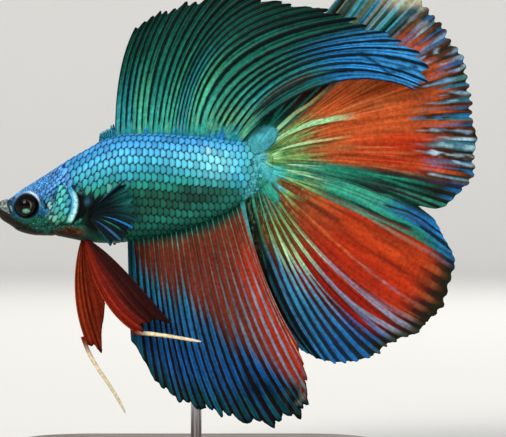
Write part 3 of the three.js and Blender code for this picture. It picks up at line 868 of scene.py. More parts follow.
def relief(along, up):
    """How far the head's forms stand out of its plain shape, or sink into it."""
    beside_eye = from_eye(along, up)
    rim = 0.2 * bump(2.55, 0.26, beside_eye)
    socket = -0.85 * (1 - smooth(1.75, 2.4, beside_eye))
    brow = 0.12 * spot(along, up, (5.6, 3.4), (2.2, 0.7))

    above = up - gape_height(along)
    in_mouth = 1 - smooth(2.7, 3.25, along)
    slit = -0.42 * bump(0.0, 0.13, above) * in_mouth
    lips = (0.16 * bump(0.5, 0.34, above) + 0.17 * bump(-0.48, 0.36, above)) * (1 - smooth(1.6, 2.6, along))
    beside = (0.08 * bump(0.55, 0.4, above) + 0.06 * bump(-0.5, 0.4, above)) * in_mouth
    on_fold = line_at(LIP_FOLD, up)
    fold = -0.2 * bump(on_fold, 0.15, along) * smooth(-1.7, -1.1, up) * (1 - smooth(1.6, 2.2, up))
    behind_fold = 0.1 * bump(on_fold + 0.45, 0.28, along) * band(-0.8, 0.9, 0.4, up)

    nostrils = 0.0
    for x, z, deep in NOSTRILS:
        away = np.hypot(along - x, up - z)
        nostrils = nostrils + (-deep * bump(0, 0.17, away) + 0.1 * bump(0.33, 0.1, away))

    cover, gap = cover_shape(along, up)
    tall = smooth(-3.4, -2.2, up) * (1 - smooth(4.0, 4.9, up))
    front, rear = line_at(COVER_FRONT, up), line_at(COVER_REAR, up)
    plate = 0.24 * cover + 0.1 * bump(rear - 0.3, 0.3, along) * tall
    cut = -0.16 * bump(front, 0.13, along) * tall
    below = -0.2 * bump(-3.15, 0.28, up) * band(9.5, 14.6, 0.8, along)
    opening = -0.85 * gap

    jaw = -0.12 * bump(-3.55, 0.2, up) * band(3.4, 9.6, 0.8, along)
    notch = -0.14 * spot(along, up, (10.95, -5.0), (0.35, 0.5))
    cheek = 0.14 * spot(along, up, (8.6, -1.4), (1.9, 1.4))
    shoulder = -0.3 * spot(along, up, (17.9, -1.0), (0.9, 2.4))
    return (
        rim + socket + brow + slit + lips + beside + fold + behind_fold + nostrils + plate + cut + below
        + opening + jaw + notch + cheek + shoulder
    )


def scaled(along, up):
    """Where scales grow: not on the face, chin, eye, throat, end of the tail root or in the gill gap."""
    _, gap = cover_shape(along, up)
    starts = np.interp(up, (-3.4, -0.5, 1.5, 2.6, 6.0, 9.0), (10.6, 9.4, 8.9, 9.4, 10.4, 12.0))
    ends = np.interp(up, (2, 5, 8, 10, 12.5), (45.2, 46.6, 47.4, 47.0, 45.6))
    jaw_line = np.interp(along, (10.0, 16.0, 19.0, 22.0), (-3.4, -3.3, -4.5, -8.0))
    grown = smooth(starts - 0.2, starts + 0.2, along) * (1 - smooth(ends - 0.2, ends + 0.2, along))
    off_eye = smooth(2.45, 2.65, from_eye(along, up))
    return grown * off_eye * smooth(jaw_line - 0.2, jaw_line + 0.5, up) * (1 - gap)


def flesh_colour(along, up):
    """The fish's own markings, the same for the skin and the scales over it."""
    look = bpy.context.scene.fish_body
    _, top, bottom, _ = body_row(along)
    height = (up - bottom) / np.maximum(top - bottom, 0.1)
    edge = np.interp(along, (16, 22, 30, 38, 42, 46), (3.6, 4.6, 5.4, 4.9, 4.2, 2.0))
    edge = edge + 0.35 * wobble(along * 0.9, 1)
    body = layers(look.belly, (
        (look.low_flank, smooth(edge - 3.0, edge - 0.8, up)),
        (look.flank, smooth(edge - 1.3, edge + 2.8, up)),
        (look.back, smooth(0.7, 0.95, height) * (1 - 0.5 * smooth(36, 46, along))),
        # Painted highlights: a bright glint on the rear flank and a weaker one before it.
        (look.rear_flank_glint, 0.82 * spot(along, up, (40.6, 8.2), (3.6, 2.5))),
        (look.rear_flank_glint, 0.25 * spot(along, up, (35.0, 9.0), (4.0, 2.0))),
        ("0c3a30", 0.8 * (band(33.4, 45.0, 1.4, along) * band(0.6, 4.0, 0.8, up))),
        (look.low_flank, 0.45 * bump(0.14, 0.09, height) * smooth(22, 28, along)),
        (look.tail_root, smooth(44.5, 47.5, along)),
    ))

    # The head: pale blue above, darker blue behind the eye, dark green below, with soft mottles.
    blotch = mottle(along * 1.9, up * 1.9, 91)
    head = layers(look.cheek, (
        (look.head_side, smooth(0.3, 0.42, height + 0.06 * (blotch - 0.5))),
        (look.forehead, smooth(0.52, 0.8, height + 0.2 * (blotch - 0.5))),
        ("4468c8", 0.4 * smooth(0.5, 0.85, blotch) * spot(along, up, (10.5, 5.4), (3.0, 1.6))),
        ("052b56", 0.7 * smooth(0.45, 0.75, blotch) * spot(along, up, (9.0, 1.4), (1.6, 2.0))),
        ("5ab4c8", 0.5 * smooth(0.5, 0.2, blotch) * spot(along, up, (9.4, 0.4), (1.2, 2.2))),
    ))
    head = head * (0.72 + 0.5 * mottle(along * 3.1, up * 3.1, 92))[:, None]
    cover, gap = cover_shape(along, up)
    front, rear = line_at(COVER_FRONT, up), line_at(COVER_REAR, up)
    plates = layers(look.gill_cover, (
        ("3a9cc8", smooth(0.2, 0.8, (along - front) / (rear - front)) * smooth(-1.4, 0.6, up)),
        ("3a9c7c", smooth(-0.6, -2.4, up)),
    ))
    rim = cover * band(-2.4, 2.9, 0.5, up)
    head = layers(head, (
        (plates, cover),
        ("58b8e4", 0.9 * rim * smooth(rear - 1.35, rear - 1.0, along)),
        ("8ce0b8", 0.8 * rim * smooth(rear - 1.3, rear - 1.0, along) * smooth(-0.4, -1.8, up)),
        (look.gill_rim, 0.95 * rim * smooth(rear - 0.95, rear - 0.5, along + 0.4 * (blotch - 0.5))),
        ("a4dcc8", 0.8 * spot(along, up, (10.2, 0.2), (0.35, 1.1))),
        ("a4dcc8", 0.7 * spot(along, up, (10.6, -1.9), (0.5, 0.7))),
    ))

    throat_top = np.interp(along, (9.5, 11, 13, 15, 17), (-4.9, -3.9, -3.4, -3.3, -4.0))
    throat_top = throat_top + 1.3 * (mottle(along * 1.7, up * 1.7, 96) - 0.5)
    brown = layer(look.throat, "7a4016", smooth(0.5, 0.8, mottle(along * 2.3, up * 3, 93)))
    return layers(head, (
        (body, smooth(-1.0, 1.0, along - np.interp(up, (-3, 3, 9), (16.2, 15.2, 12.4)))),
        (brown, smooth(throat_top + 0.4, throat_top - 0.6, up) * band(9.8, 17.2, 1.4, along)),
        ("120c06", smooth(0.12, 0.02, height) * band(9.5, 17.5, 1.5, along)),
        # Painted shade at the root of the pectoral fin.
        ("03090a", 0.92 * (band(16.9, 19.8, 0.7, along) * band(-5.0, 2.2, 1.0, up))),
        ("0a4a44", 0.6 * spot(along, up, (16.6, -5.0), (1.2, 1.0))),
        # Painted shade: the gill gap and a spot at its upper end are painted near black.
        (look.gap, np.maximum(gap, 0.9 * spot(along, up, (14.9, 4.2), (0.5, 0.7)))),
        ("5ab4dc", 0.9 * spot(along, up, (17.2, 1.2), (0.45, 0.6))),
        (look.gill_rim, 0.9 * spot(along, up, (15.75, 3.1), (0.42, 0.4))),
    ))


TAIL_HUB = (47.6, 8.9)  # where the tail's rays would meet

# Smooth lobes of skin at the root of the tail fin: centre, half length and half width, tilt in degrees and
# colour.
TAIL_LOBES = (
    ((48.9, 12.5), (3.5, 2.1), 40, "48aab4"),
    ((50.1, 3.3), (3.0, 1.05), -45, "35a48c"),
)


def tail_root_colour(along, up):
    """The smooth skin between the last scales and the tail fin, and where its lobes lie over the fin."""
    body, fins = bpy.context.scene.fish_body, bpy.context.scene.fish_fins
    hub_along, hub_up = TAIL_HUB
    turn = np.arctan2(up - hub_up, along - hub_along)
    reach = np.hypot(along - hub_along, up - hub_up)
    folds = mottle(turn * 7 + 40, reach * 0.7, 81)
    specks = smooth(0.62, 0.8, mottle(along * 2.6, up * 2.0, 84))
    streaks = mottle(turn * 16 + 40, reach * 0.5, 83)
    fan_root = layers(fins.leaf, (
        (fins.pale_leaf, smooth(0.55, 0.8, streaks)),
        ("3c7a40", smooth(0.42, 0.28, streaks)),
        (layer(fins.aqua, fins.mint, smooth(0.55, 0.4, streaks)), smooth(8.4, 7.2, up)),
        (layer(fins.mint, fins.deep_sea, smooth(0.45, 0.3, streaks)), smooth(5.2, 3.6, up)),
        ("16402c", 0.8 * bump(0.62, 0.13, turn) * smooth(1.0, 1.8, reach)),
    ))
    behind = band(-1.05, 0.75, 0.12, turn)
    colour = layers(body.tail_root, (
        ("1d7f84", smooth(0.45, 0.75, folds)),
        ("6cd4e4", 0.6 * np.maximum(smooth(0.4, 0.2, folds), specks)),
        (fan_root, behind * smooth(1.5, 3.1, reach + 0.9 * (streaks - 0.5))),
    ))
    inside = np.zeros(len(along))
    for (x, z), (long, wide), tilt, tone in TAIL_LOBES:
        cos, sin = math.cos(math.radians(tilt)), math.sin(math.radians(tilt))
        ahead, aside = (along - x) * cos + (up - z) * sin, (up - z) * cos - (along - x) * sin
        edge = np.hypot(ahead / long, aside / wide)
        # Each lobe is painted lighter towards one side and darker at its rim, painted light and shade that
        # make it look raised, over an uneven tone.
        lit = 0.66 + 0.34 * mottle(ahead * 0.7, aside * 2.2 / wide, 82) + 0.1 * aside / wide
        lobe = np.array(linear(tone)) * (lit * (1 - 0.75 * smooth(0.84, 1.0, edge)))[:, None]
        colour = layer(colour, lobe, 1 - smooth(0.98, 1.04, edge))
        inside = np.maximum(inside, 1 - smooth(0.98, 1.06, edge))
    return colour, np.maximum(inside, behind * (1 - smooth(4.4, 6.6, reach + 2.4 * (streaks - 0.5))))


def bare_colour(along, up):
    """The colours that only bare skin has: lips, chin and the ring round the eye, with painted shade under
    the scales, in the head's creases, nostrils and lines, and painted highlights on the eye's rim and along
    the back.
    """
    look = bpy.context.scene.fish_body
    _, top, bottom, _ = body_row(along)
    above, on_fold = up - gape_height(along), line_at(LIP_FOLD, up)
    muzzle = 1 - smooth(-0.15, 0.15, along - on_fold)
    folds, _ = tail_root_colour(along, up)
    colour = layer(flesh_colour(along, up), folds, smooth(45.0, 47.0, along))
    cover, _ = cover_shape(along, up)
    front, rear = line_at(COVER_FRONT, up), line_at(COVER_REAR, up)
    free_rim = cover * smooth(rear - 1.4, rear - 1.0, along)
    # Skin under the scales is painted dark: painted shade where it shows between them; the gill cover's free
    # rim is left bright.
    colour = colour * (1 - 0.8 * scaled(along, up) * (1 - free_rim))[:, None]

    # The chin darkens along a slanting, soft line, and the lips are speckled.
    chin = smooth(0.7, -0.6, up - np.interp(along, (2, 4.5, 7.5, 10.5), (-0.9, -2.3, -3.9, -5.2)))
    snout = layer(look.snout, "a8b4ae", 0.6 * smooth(0.5, 0.8, mottle(along * 4.5, up * 4.5, 94)))
    snout = snout * (0.6 + 0.7 * mottle(along * 3, up * 3, 95))[:, None]
    lips = layer(look.chin, snout, smooth(-0.25, 0.1, above))
    streak = bump(on_fold + 0.42, 0.14, along) * band(-0.55, 0.4, 0.25, up)
    colour = layers(colour, (
        (look.chin, 0.95 * chin * (1 - smooth(9.5, 11.0, along))),
        ("12404c", 0.85 * ((1 - muzzle) * smooth(4.6, 3.4, along) * band(-1.4, 1.7, 0.4, up))),
        (lips, muzzle),
        ("8a7a5c", 0.6 * smooth(-0.28, -0.08, -np.abs(up - bottom)) * (1 - smooth(8, 10.5, along))),
        # Painted shade in the mouth's slit, in the fold behind the lips and in the nostrils.
        ("040606", 0.9 * bump(0, 0.12, above) * (1 - smooth(2.8, 3.2, along))),
        ("060c0c", 0.9 * bump(on_fold, 0.18, along) * band(-1.7, 1.6, 0.3, up)),
        ("a8ccd4", 0.85 * streak),
        *(("04070a", 0.9 * bump(0, 0.2, np.hypot(along - x, up - z))) for x, z, _ in NOSTRILS),
        # Painted highlight along the top edge of the head and back.
        ("c4e6ff", 0.6 * smooth(0.6, 0.12, top - up) * band(3.2, 43.0, 0.8, along)),
    ))

    # The rim of the eye is bright above and behind, where light falls on it, and fades towards the snout; a
    # dark ring where the eye meets its socket is painted shade.
    turn, beside_eye = np.arctan2(up - EYE["up"], along - EYE["along"]), from_eye(along, up)
    lit = bump(1.05, 0.62, turn)
    # Painted shade in the grooves along the gill cover's front and top edges.
    line = bump(front, 0.13, along) * smooth(-3.0, -2.0, up) * (1 - smooth(4.2, 4.7, up))
    line = np.maximum(line, bump(4.35, 0.14, up) * band(11.8, 14.2, 0.3, along))
    return layers(colour, (
        ("04080c", 0.92 * bump(2.2, 0.34, beside_eye)),
        ("d2e8f8", bump(2.46, 0.13 + 0.17 * lit, beside_eye) * np.clip(1.25 * lit, 0, 1)),
        ("7ab4e4", 0.5 * bump(2.4, 0.14, beside_eye) * bump(2.2, 0.6, turn)),
        ("020e14", 0.9 * line),
    ))


def pebbled(along, up):
    """Where bare skin shows pebbles: on the head, but not on the lips, the eye's rim or the gill cover."""
    cover, gap = cover_shape(along, up)
    head = smooth(0.1, 0.5, along - line_at(LIP_FOLD, up)) * (1 - smooth(14, 17, along))
    head = head * smooth(2.5, 2.9, from_eye(along, up))
    return np.maximum(head * (1 - 0.9 * cover) * (1 - gap), 0.3 * band(44.8, 49.4, 0.8, along))


def surface(along, angle):
    """Points of the skin with the head's relief, and the directions that face out of it."""
    coat = bpy.context.scene.fish_body.coat / MM
    step = 0.02
    points = flank(along, angle, -coat)
    before, after = np.maximum(along - step, 0), np.minimum(along + step, BODY_END)
    lengthwise = flank(after, angle, -coat) - flank(before, angle, -coat)
    crosswise = flank(along, angle + step, -coat) - flank(along, angle - step, -coat)
    facing = np.cross(crosswise, lengthwise)
    facing /= np.maximum(np.linalg.norm(facing, axis=1), 1e-9)[:, None]
    middle = np.stack((along, 0 * along, np.mean(body_row(along)[1:3], axis=0)), axis=1)
    facing *= np.sign(np.sum(facing * (points - middle), axis=1))[:, None]
    return points + facing * relief(points[:, 0], points[:, 2])[:, None], facing


class FISH_OT_skin(bpy.types.Operator):
    """Covers the body in one skin, from lips to tail root"""

    bl_idname = "fish.skin"
    bl_label = "Skin"

    RINGS = 330
    AROUND = 250
    # Rings lie closest on the head: each pair is a share of the rings and the place along that it reaches.
    RING_PLAN = (
        (0, 0), (0.04, 0.25), (0.09, 0.9), (0.32, 5.0), (0.62, 14.0), (0.7, 17.2),
        (0.95, 50.0), (0.985, 51.0), (1, BODY_END),
    )
    NODES = ("head", "upper_lip", "lower_jaw", "gill_cover_left", "gill_cover_right", "trunk", "tail_root")

    def execute(self, context):
        bm = bmesh.new()
        bmesh.ops.create_uvsphere(bm, u_segments=self.AROUND, v_segments=self.RINGS, radius=1)
        mesh = mesh_from("Skin", bm)
        x, y, z = points_of(mesh).T
        share = np.arccos(np.clip(z, -1, 1)) / math.pi
        along = np.interp(share, *zip(*self.RING_PLAN))
        points = flank(along, np.arctan2(x, y), -context.scene.fish_body.coat / MM)
        move_points(mesh, to_frame(*points.T))
        face_outwards(mesh)
        points += points_of(mesh, "normal") * relief(points[:, 0], points[:, 2])[:, None]
        move_points(mesh, to_frame(*points.T))
        along, up = points[:, 0], points[:, 2]
        paint(mesh, bare_colour(along, up), alpha=pebbled(along, up))
        add_piece("Skin", mesh, skin_material(), "head_skin", *self.NODES)
        return {"FINISHED"}


def plate_form():
    """One scale as a thin shield: a small grid with a rim that goes down into the skin."""
    bm = bmesh.new()
    bmesh.ops.create_grid(bm, x_segments=5, y_segments=5, size=0.5)
    rim = bmesh.ops.extrude_edge_only(bm, edges=[edge for edge in bm.edges if edge.is_boundary])
    lowered = [item for item in rim["geom"] if isinstance(item, bmesh.types.BMVert)]
    bmesh.ops.translate(bm, verts=lowered, vec=(0, 0, -1))
    close_mesh(bm)
    return mesh_from("Plate form", bm)


def arrayed(mesh, count):
    """A mesh repeated in a line and joined; each copy's own form comes back with it, copy by copy."""
    row = show("Row", mesh)
    form = points_of(mesh)
    array = row.modifiers.new("Row", "ARRAY")
    array.use_relative_offset = False
    array.use_constant_offset = True
    array.constant_offset_displace = (3, 0, 0)
    array.count = count
    graph = bpy.context.evaluated_depsgraph_get()
    joined = bpy.data.meshes.new_from_object(row.evaluated_get(graph))
    bpy.data.objects.remove(row)
    return joined, np.tile(form, (count, 1))


def scale_rows(pitch, gap, first, last, shrink=0.17):
    """Roots of scales in half-shifted rows: place along, and distance down from the back."""
    roots = []
    for row in range(int(HALF_GIRTH / gap)):
        alongs = np.arange(first + (row % 2) * pitch / 2, last, pitch)
        down = (row + 0.5) * gap * (1 - shrink * smooth(34, 50, alongs))
        roots.append(np.stack((alongs, down), axis=1))
    return np.concatenate(roots)


def placed(roots):
    """Where roots lie on the fish, along and up, and whether they are still on the body."""
    along, down = roots.T
    share = down / girth_at(along)
    at = flank(along, angle_at(along, np.clip(share, 0, 1)), 0.0)
    return along, at[:, 2], share < 1.0


def loose_rows(pitch, gap, first, last, seed, astray):
    """Rows of scales, each a little astray, and the source of their random places."""
    rng = np.random.default_rng(bpy.context.scene.fish_body.seed + seed)
    roots = scale_rows(pitch, gap, first, last)
    return roots + rng.uniform(-astray, astray, roots.shape), rng


def lay_scales(roots, side, plate_length, plate_height, lift, spread):
    """Lays a scale on each root, pointing back and overlapping the next, as one joined piece."""
    look = bpy.context.scene.fish_body
    mesh, form = arrayed(plate_form(), len(roots))
    per_plate = len(form) // len(roots)
    a, b, low = form.T
    along0, down0 = np.repeat(roots, per_plate, axis=0).T
    rng = np.random.default_rng(look.seed + (side > 0))
    chance = np.repeat(rng.random((len(roots), 4)), per_plate, axis=0)

    # The rear edge is blunt with cut corners, and the front is narrower where it is tucked in.
    wide = np.abs(2 * b)
    back = a - (0.05 * wide ** 2 + 0.29 * np.clip((wide - 0.55) / 0.42, 0, 1)) * smooth(-0.3, 0.5, a)
    across = b * (1 - 0.28 * smooth(0.05, 0.5, a)) * (1 + 0.08 * (chance[:, 2] - 0.5))
    along = np.clip(along0 + (back - 0.1) * plate_length, 0.02, BODY_END - 0.02)
    share = np.clip((down0 + across * plate_height) / girth_at(along), 0, 1)
    points, facing = surface(along, side * angle_at(along, share))
    height = lift * (smooth(-0.5, 0.35, a) * 1.35 - 0.5 - 0.35 * (2 * b) ** 2) + 0.02 * (chance[:, 3] - 0.5)
    height += 0.16 * low
    points += facing * height[:, None]
    move_points(mesh, to_frame(*points.T))
    if side < 0:
        face_outwards(mesh)

    share0 = np.clip(down0 / girth_at(along0), 0, 1)
    roots_at = flank(along0, side * angle_at(along0, share0), 0.0)
    colours = flesh_colour(roots_at[:, 0], roots_at[:, 2]) * (1 + spread * (2 * chance[:, 0] - 1))[:, None]
    pale = 0.45 * smooth(0.965, 1.0, chance[:, 1]) * smooth(2, 6, roots_at[:, 2])
    paint(mesh, layer(colours, look.gill_rim, pale))
    unwrap(mesh, "Plate", np.stack((a + 0.5, b + 0.5), axis=1))
    bake_at = np.stack((0.01 + 0.98 * along0 / BODY_END, 0.5 + side * (0.01 + 0.48 * share0)), axis=1)
    unwrap(mesh, "OFBake", bake_at + 0.003 * np.stack((a, b), axis=1))
    mesh.uv_layers["Plate"].active_render = True
    return mesh


def body_roots():
    look = bpy.context.scene.fish_body
    roots = scale_rows(look.scale_pitch / MM, look.scale_gap / MM, 11.6, 50.6)
    along, up, there = placed(roots)
    ups, alongs = (-6, -4.6, -3.6, 1.6, 2.6, 3.2, 4.8, 11), (17.6, 18.2, 19.6, 19.6, 17.6, 16.2, 12.8, 11.8)
    return roots[there & (along > np.interp(up, ups, alongs)) & (scaled(along, up) > 0.5)]


def head_roots():
    pitch = bpy.context.scene.fish_body.head_pitch / MM
    roots, _ = loose_rows(pitch, pitch * 1.2, 8.1, 16.2, seed=11, astray=0.12)
    along, up, there = placed(roots)
    ends = np.interp(up, (-6, -3, 3.2, 4.8, 11), (17.6, 17.0, 16.2, 12.8, 11.8))
    cover, _ = cover_shape(along, up)
    return roots[there & (along <= ends) & (scaled(along, up) > 0.5) & (cover < 0.3)]


def cover_roots():
    roots, _ = loose_rows(1.06, 1.22, 10.4, 16.0, seed=23, astray=0.1)
    along, up, there = placed(roots)
    cover, _ = cover_shape(along, up)
    return roots[there & (cover > 0.5) & (along < line_at(COVER_REAR, up) - 1.5)]


def tail_root_scales():
    pitch = bpy.context.scene.fish_body.head_pitch / MM
    roots, rng = loose_rows(pitch, pitch * 1.2, 44.2, 49.9, seed=31, astray=0.16)
    along, up, there = placed(roots)
    _, in_lobe = tail_root_colour(along, up)
    thinned = rng.random(len(roots)) > smooth(46.6, 50.4, along)
    beyond = scaled(along - 0.3, up) < 0.9
    return roots[there & beyond & thinned & (in_lobe < 0.2) & (up > 1.5) & (up < 13.0)]


class FISH_OT_scales(bpy.types.Operator):
    """Lays the scales of the body, the head and the gill covers over the skin"""

    bl_idname = "fish.scales"
    bl_label = "Scales"

    def execute(self, context):
        look = context.scene.fish_body
        pitch, gap, head = (value / MM for value in (look.scale_pitch, look.scale_gap, look.head_pitch))
        # Each coat: name, slot and roots, then its plates' length, height, lift and spread of brightness.
        coats = (
            ("body", "scales", body_roots, pitch * 1.75, gap * 1.45, 0.14, 0.24),
            ("head", "head_skin", head_roots, head * 1.75, head * 1.55, 0.08, 0.35),
            ("gill_cover", "head_skin", cover_roots, 1.86, 1.6, 0.09, 0.22),
            ("tail_root", "scales", tail_root_scales, head * 1.6, head * 1.3, 0.07, 0.4),
        )
        material = scale_material()
        for side, word in SIDES:
            for name, slot, find_roots, *plate in coats:
                add_piece(f"Scales_{name}_{word}", lay_scales(find_roots(), side, *plate), material, slot)
        return {"FINISHED"}


class FISH_OT_eyes(bpy.types.Operator):
    """Sets the eyes in their sockets"""

    bl_idname = "fish.eyes"
    bl_label = "Eyes"

    AROUND = 72
    RINGS = 64
    PUPIL = {"at": (-0.15, 0.05), "radius": 1.0}

    def execute(self, context):
        material = eye_material()
        for side, word in SIDES:
            name = f"Eye_{word}"
            bm = bmesh.new()
            bmesh.ops.create_uvsphere(bm, u_segments=self.AROUND, v_segments=self.RINGS, radius=1)
            mesh = mesh_from(name, bm)
            x, y, z = points_of(mesh).T
            cornea = 1 + 0.1 * smooth(0.75, 0.2, np.hypot(x, y))
            x, y = EYE["radius"] * x, EYE["radius"] * y
            out = side * (EYE["out"] + EYE["depth"] * z * cornea)
            move_points(mesh, to_frame(EYE["along"] + x, out, EYE["up"] + y))
            face_outwards(mesh)
            paint(mesh, self.iris(x, y))
            add_piece(name, mesh, material, "eye", name.lower())
        return {"FINISHED"}

    def iris(self, x, y):
        pupil_x, pupil_y = self.PUPIL["at"]
        from_pupil = np.hypot(x - pupil_x, y - pupil_y)
        edge = self.PUPIL["radius"]
        turn = np.arctan2(y - pupil_y, x - pupil_x)
        crescent = bump(edge + 0.02, 0.075, from_pupil) * bump(0.15, 0.75, turn)
        glint = smooth(0.25, 0.7, spot(x, y, (-0.02, -0.95), (0.74, 0.46)))
        mirrored = linear("6aa688") * (0.6 + 0.7 * mottle(x * 5, y * 5, 97))[:, None]
        return layers(linear("010101"), (
            ("0a0706", smooth(edge - 0.05, edge + 0.1, from_pupil)),
            ("04090c", smooth(1.7, 2.1, np.hypot(x, y))),
            ("94806e", 0.8 * crescent),
            (mirrored, glint),
        ))


# ---- fins ----------------------------------------------------------------------------------------


def fan_point(fin, u, v):
    """The point at share u of the fan and share v of the ray's length."""
    shares = [ray[0] for ray in fin["named"]]
    controls = [
        [through(shares, [ray[point][axis] for ray in fin["named"]], u) for point in (1, 2, 3, 4)]
        for axis in (0, 1)
    ]
    return cubic(controls[0], v), cubic(controls[1], v)


class Fan:
    """Places on a fin: shares u across the fan and v out along the rays, and how they lie to the rays."""

    def __init__(self, fin, phase, v):
        rays, shares = zip(*fin.get("spread", ((0, 0.0), (fin["rays"] - 1, 1.0))))
        self.phase, self.v = phase, v
        self.u = np.interp(phase, rays, shares)
        self.ray = np.rint(phase).astype(int)
        self.web = np.floor(phase).astype(int)
        self.across = phase - self.web
        self.signed = 2 * (phase - self.ray)
        self.away = np.abs(self.signed)  # 0 on a ray and 1 half way to the next

    def mottle(self, across, out, seed):
        """An unevenness with so many blotches between two rays and so many out along a ray."""
        return mottle(self.phase * across, self.v * out, seed)


def add_fin(name, fin, design, material, slot, *nodes, side=1):
    """Shows a fan of rays as one sheet with a ragged margin, thicker on the rays than in the web."""
    columns = (fin["rays"] - 1) * fin["columns"]
    bm = bmesh.new()
    bmesh.ops.create_grid(bm, x_segments=columns, y_segments=fin["rows"], size=0.5)
    mesh = mesh_from(name, bm)
    grid = points_of(mesh)
    fan = Fan(fin, (grid[:, 0] + 0.5) * (fin["rays"] - 1), grid[:, 1] + 0.5)
    shape = design(fan)
    along, up = fan_point(fin, fan.u, fan.v * shape["reach"])
    out = shape["depth"] - fin["pleat"] * fan.v * np.cos(math.pi * fan.signed)
    move_points(mesh, to_frame(along, side * out, up))
    paint(mesh, shape["colour"](along, up), alpha=shape["ridge"])
    unwrap(mesh, "Rays", np.stack((fan.phase, fan.v), axis=1))

    piece = add_piece(name, mesh, material, slot, *nodes)
    root, tip = fin["thickness"]
    thickness = (root + (tip - root) * fan.v) * (0.42 + 0.58 * shape["ridge"])
    most = float(thickness.max())
    group = piece.vertex_groups.new(name="Thickness")
    for index, weight in enumerate(thickness / most):
        group.add((index,), float(weight), "REPLACE")
    solid = piece.modifiers.new("Thickness", "SOLIDIFY")
    solid.thickness = most * MM
    solid.offset = 0.0
    solid.vertex_group = group.name
    solid.use_even_offset = False


def dorsal_design(fan):
    look = bpy.context.scene.fish_fins
    u, v = fan.u, fan.v
    own, strip = chances(3, fan.ray), chances(4, fan.web)
    width = 0.24 + 0.14 * own[:, 0] + 0.05 * smooth(0.1, 0.6, v) + 0.12 * smooth(0.6, 0.95, u)
    width = width - 0.2 * smooth(0.5, 0.8, v) * smooth(0.72, 0.86, u)
    torn = 0.22 * (fan.mottle(3, 60, 5) - 0.5)
    line = 1 - smooth(width - 0.07, width + 0.09, fan.away + torn)
    # A thinner dark line splits each band further out.
    split_at = 0.3 + 0.4 * strip[:, 3]
    split = (1 - smooth(0.1, 0.26, 1 - fan.away + 0.5 * torn)) * smooth(split_at, split_at + 0.2, v)
    front = 0.93 + 0.07 * smooth(0, 0.05, u)
    ragged = 1 - 0.03 * np.abs(np.sin(u * 31)) - 0.02 * own[:, 1]
    tips = 1 - 0.035 * smooth(0.1, 0.9, fan.away) * (1 - 0.5 * own[:, 2])
    depth = -3.4 * u * u * (1 - (1 - v) ** 2) + 0.55 * v * np.sin(u * 17)

    def colour(along, up):
        near = tones(look, "0 teal, 0.18 teal, 0.4 deep_teal, 0.65 0f5a4c, 1 tip_green", v)
        rear = tones(look, "0 teal, 0.3 deep_teal, 0.5 lagoon, 0.68 blue, 1 sky", v)
        web = layer(near, rear, smooth(0.74, 0.84, u) * smooth(50, 66, along))
        # Each band is painted brighter across its middle, a painted highlight on the pleat; some bands carry
        # a green streak there.
        middle = bump(0.5, 0.34, fan.across)
        web = layers(web, (
            (look.lagoon, 0.5 * smooth(0.55, 0.8, strip[:, 2]) * smooth(0.7, 0.1, v)),
            ("4cae78", 0.6 * smooth(0.5, 0.85, strip[:, 1]) * bump(0.26, 0.24, v) * middle),
            ("6cae6a", 0.5 * spot(along, up, (43.5, 17.0), (4.0, 2.0))),
        ))
        fibres = fan.mottle(9, 10, 12)
        web = web * (0.3 + 0.34 * strip[:, 0] + 0.6 * fibres + 0.28 * middle)[:, None]
        web = layer(web, "8fae58", 0.3 * smooth(0.6, 0.85, fan.mottle(4, 42, 21)) * bump(0.1, 0.13, v))

        # Two creases meet in a point on the blue rear part, where the fin folds over itself; they are painted
        # dark, painted shade in the fold.
        crease_at = np.interp(along, (66, 67.3, 70, 72.2, 73.6, 77.8), (28.8, 28.2, 26.4, 24.5, 25.2, 25.9))
        crease_shade = bump(0, 0.5, up - crease_at) * band(66.5, 77.5, 0.5, along)
        starts = 0.03 + 0.09 * own[:, 3]
        dark = np.maximum(line * smooth(starts - 0.02, starts + 0.04, v), 0.9 * crease_shade)
        dark = np.maximum(dark, 0.8 * split)
        # The rearmost rays lie under a fold and are painted dark, painted shade broken by lighter patches.
        under = smooth(0.945, 0.965, u) * smooth(64, 56, along) * smooth(0.1, 0.25, v)
        dark = np.maximum(dark, under * (0.95 - 0.5 * smooth(0.5, 0.8, fan.mottle(6, 5, 14))))
        web = layer(web, look.ray_black, 0.96 * dark)
        strands = fan.mottle(12, 2.5, 15)
        folded = smooth(0.95, 0.962, u) * band(0.04, 0.6, 0.06, v)
        strand = layer(look.deep_teal, "5ea878", smooth(0.3, 0.08, v))
        web = layer(web, strand, 0.8 * folded * smooth(0.5, 0.66, strands))
        seam = 0.9 * bump(0.966, 0.009, u) * band(0.24, 0.54, 0.06, v) * smooth(0.62, 0.5, strands)
        web = layer(web, look.maroon, seam)
        mixed = layer("2478b8", look.teal, smooth(0.35, 0.6, mottle(along * 3.4, up * 2.6, 31)))
        mixed = mixed * (0.35 + 0.9 * mottle(along * 4.6, up * 3.4, 32))[:, None]
        climb = 0.03 + 0.06 * mottle(along * 1.6, 0 * up, 33)
        return layer(web, mixed, smooth(climb + 0.02, climb - 0.02, v + 0.02 * fibres))

    return {"reach": front * ragged * tips, "depth": depth, "ridge": line, "colour": colour}


def fringe_design(fan):
    look = bpy.context.scene.fish_fins
    own = chances(14, fan.ray)
    line = 1 - smooth(0.2, 0.5, fan.away)
    reach = 1 - (0.06 + 0.24 * own[:, 0]) * smooth(0.2, 1.0, fan.away) - 0.2 * own[:, 1]
    depth = 0.12 * np.sin(fan.phase * 2.1) * fan.v

    def colour(along, up):
        base = layer(look.lagoon, "12486a", smooth(0.3, 0.7, mottle(along * 3, up * 3, 34)))
        base = layer(base, look.aqua, 0.6 * line * smooth(0.35, 0.6, mottle(along * 4, up * 4, 35)))
        return base * (0.5 + 0.6 * fan.mottle(5, 4, 36))[:, None]

    return {"reach": reach, "depth": depth, "ridge": line, "colour": colour}


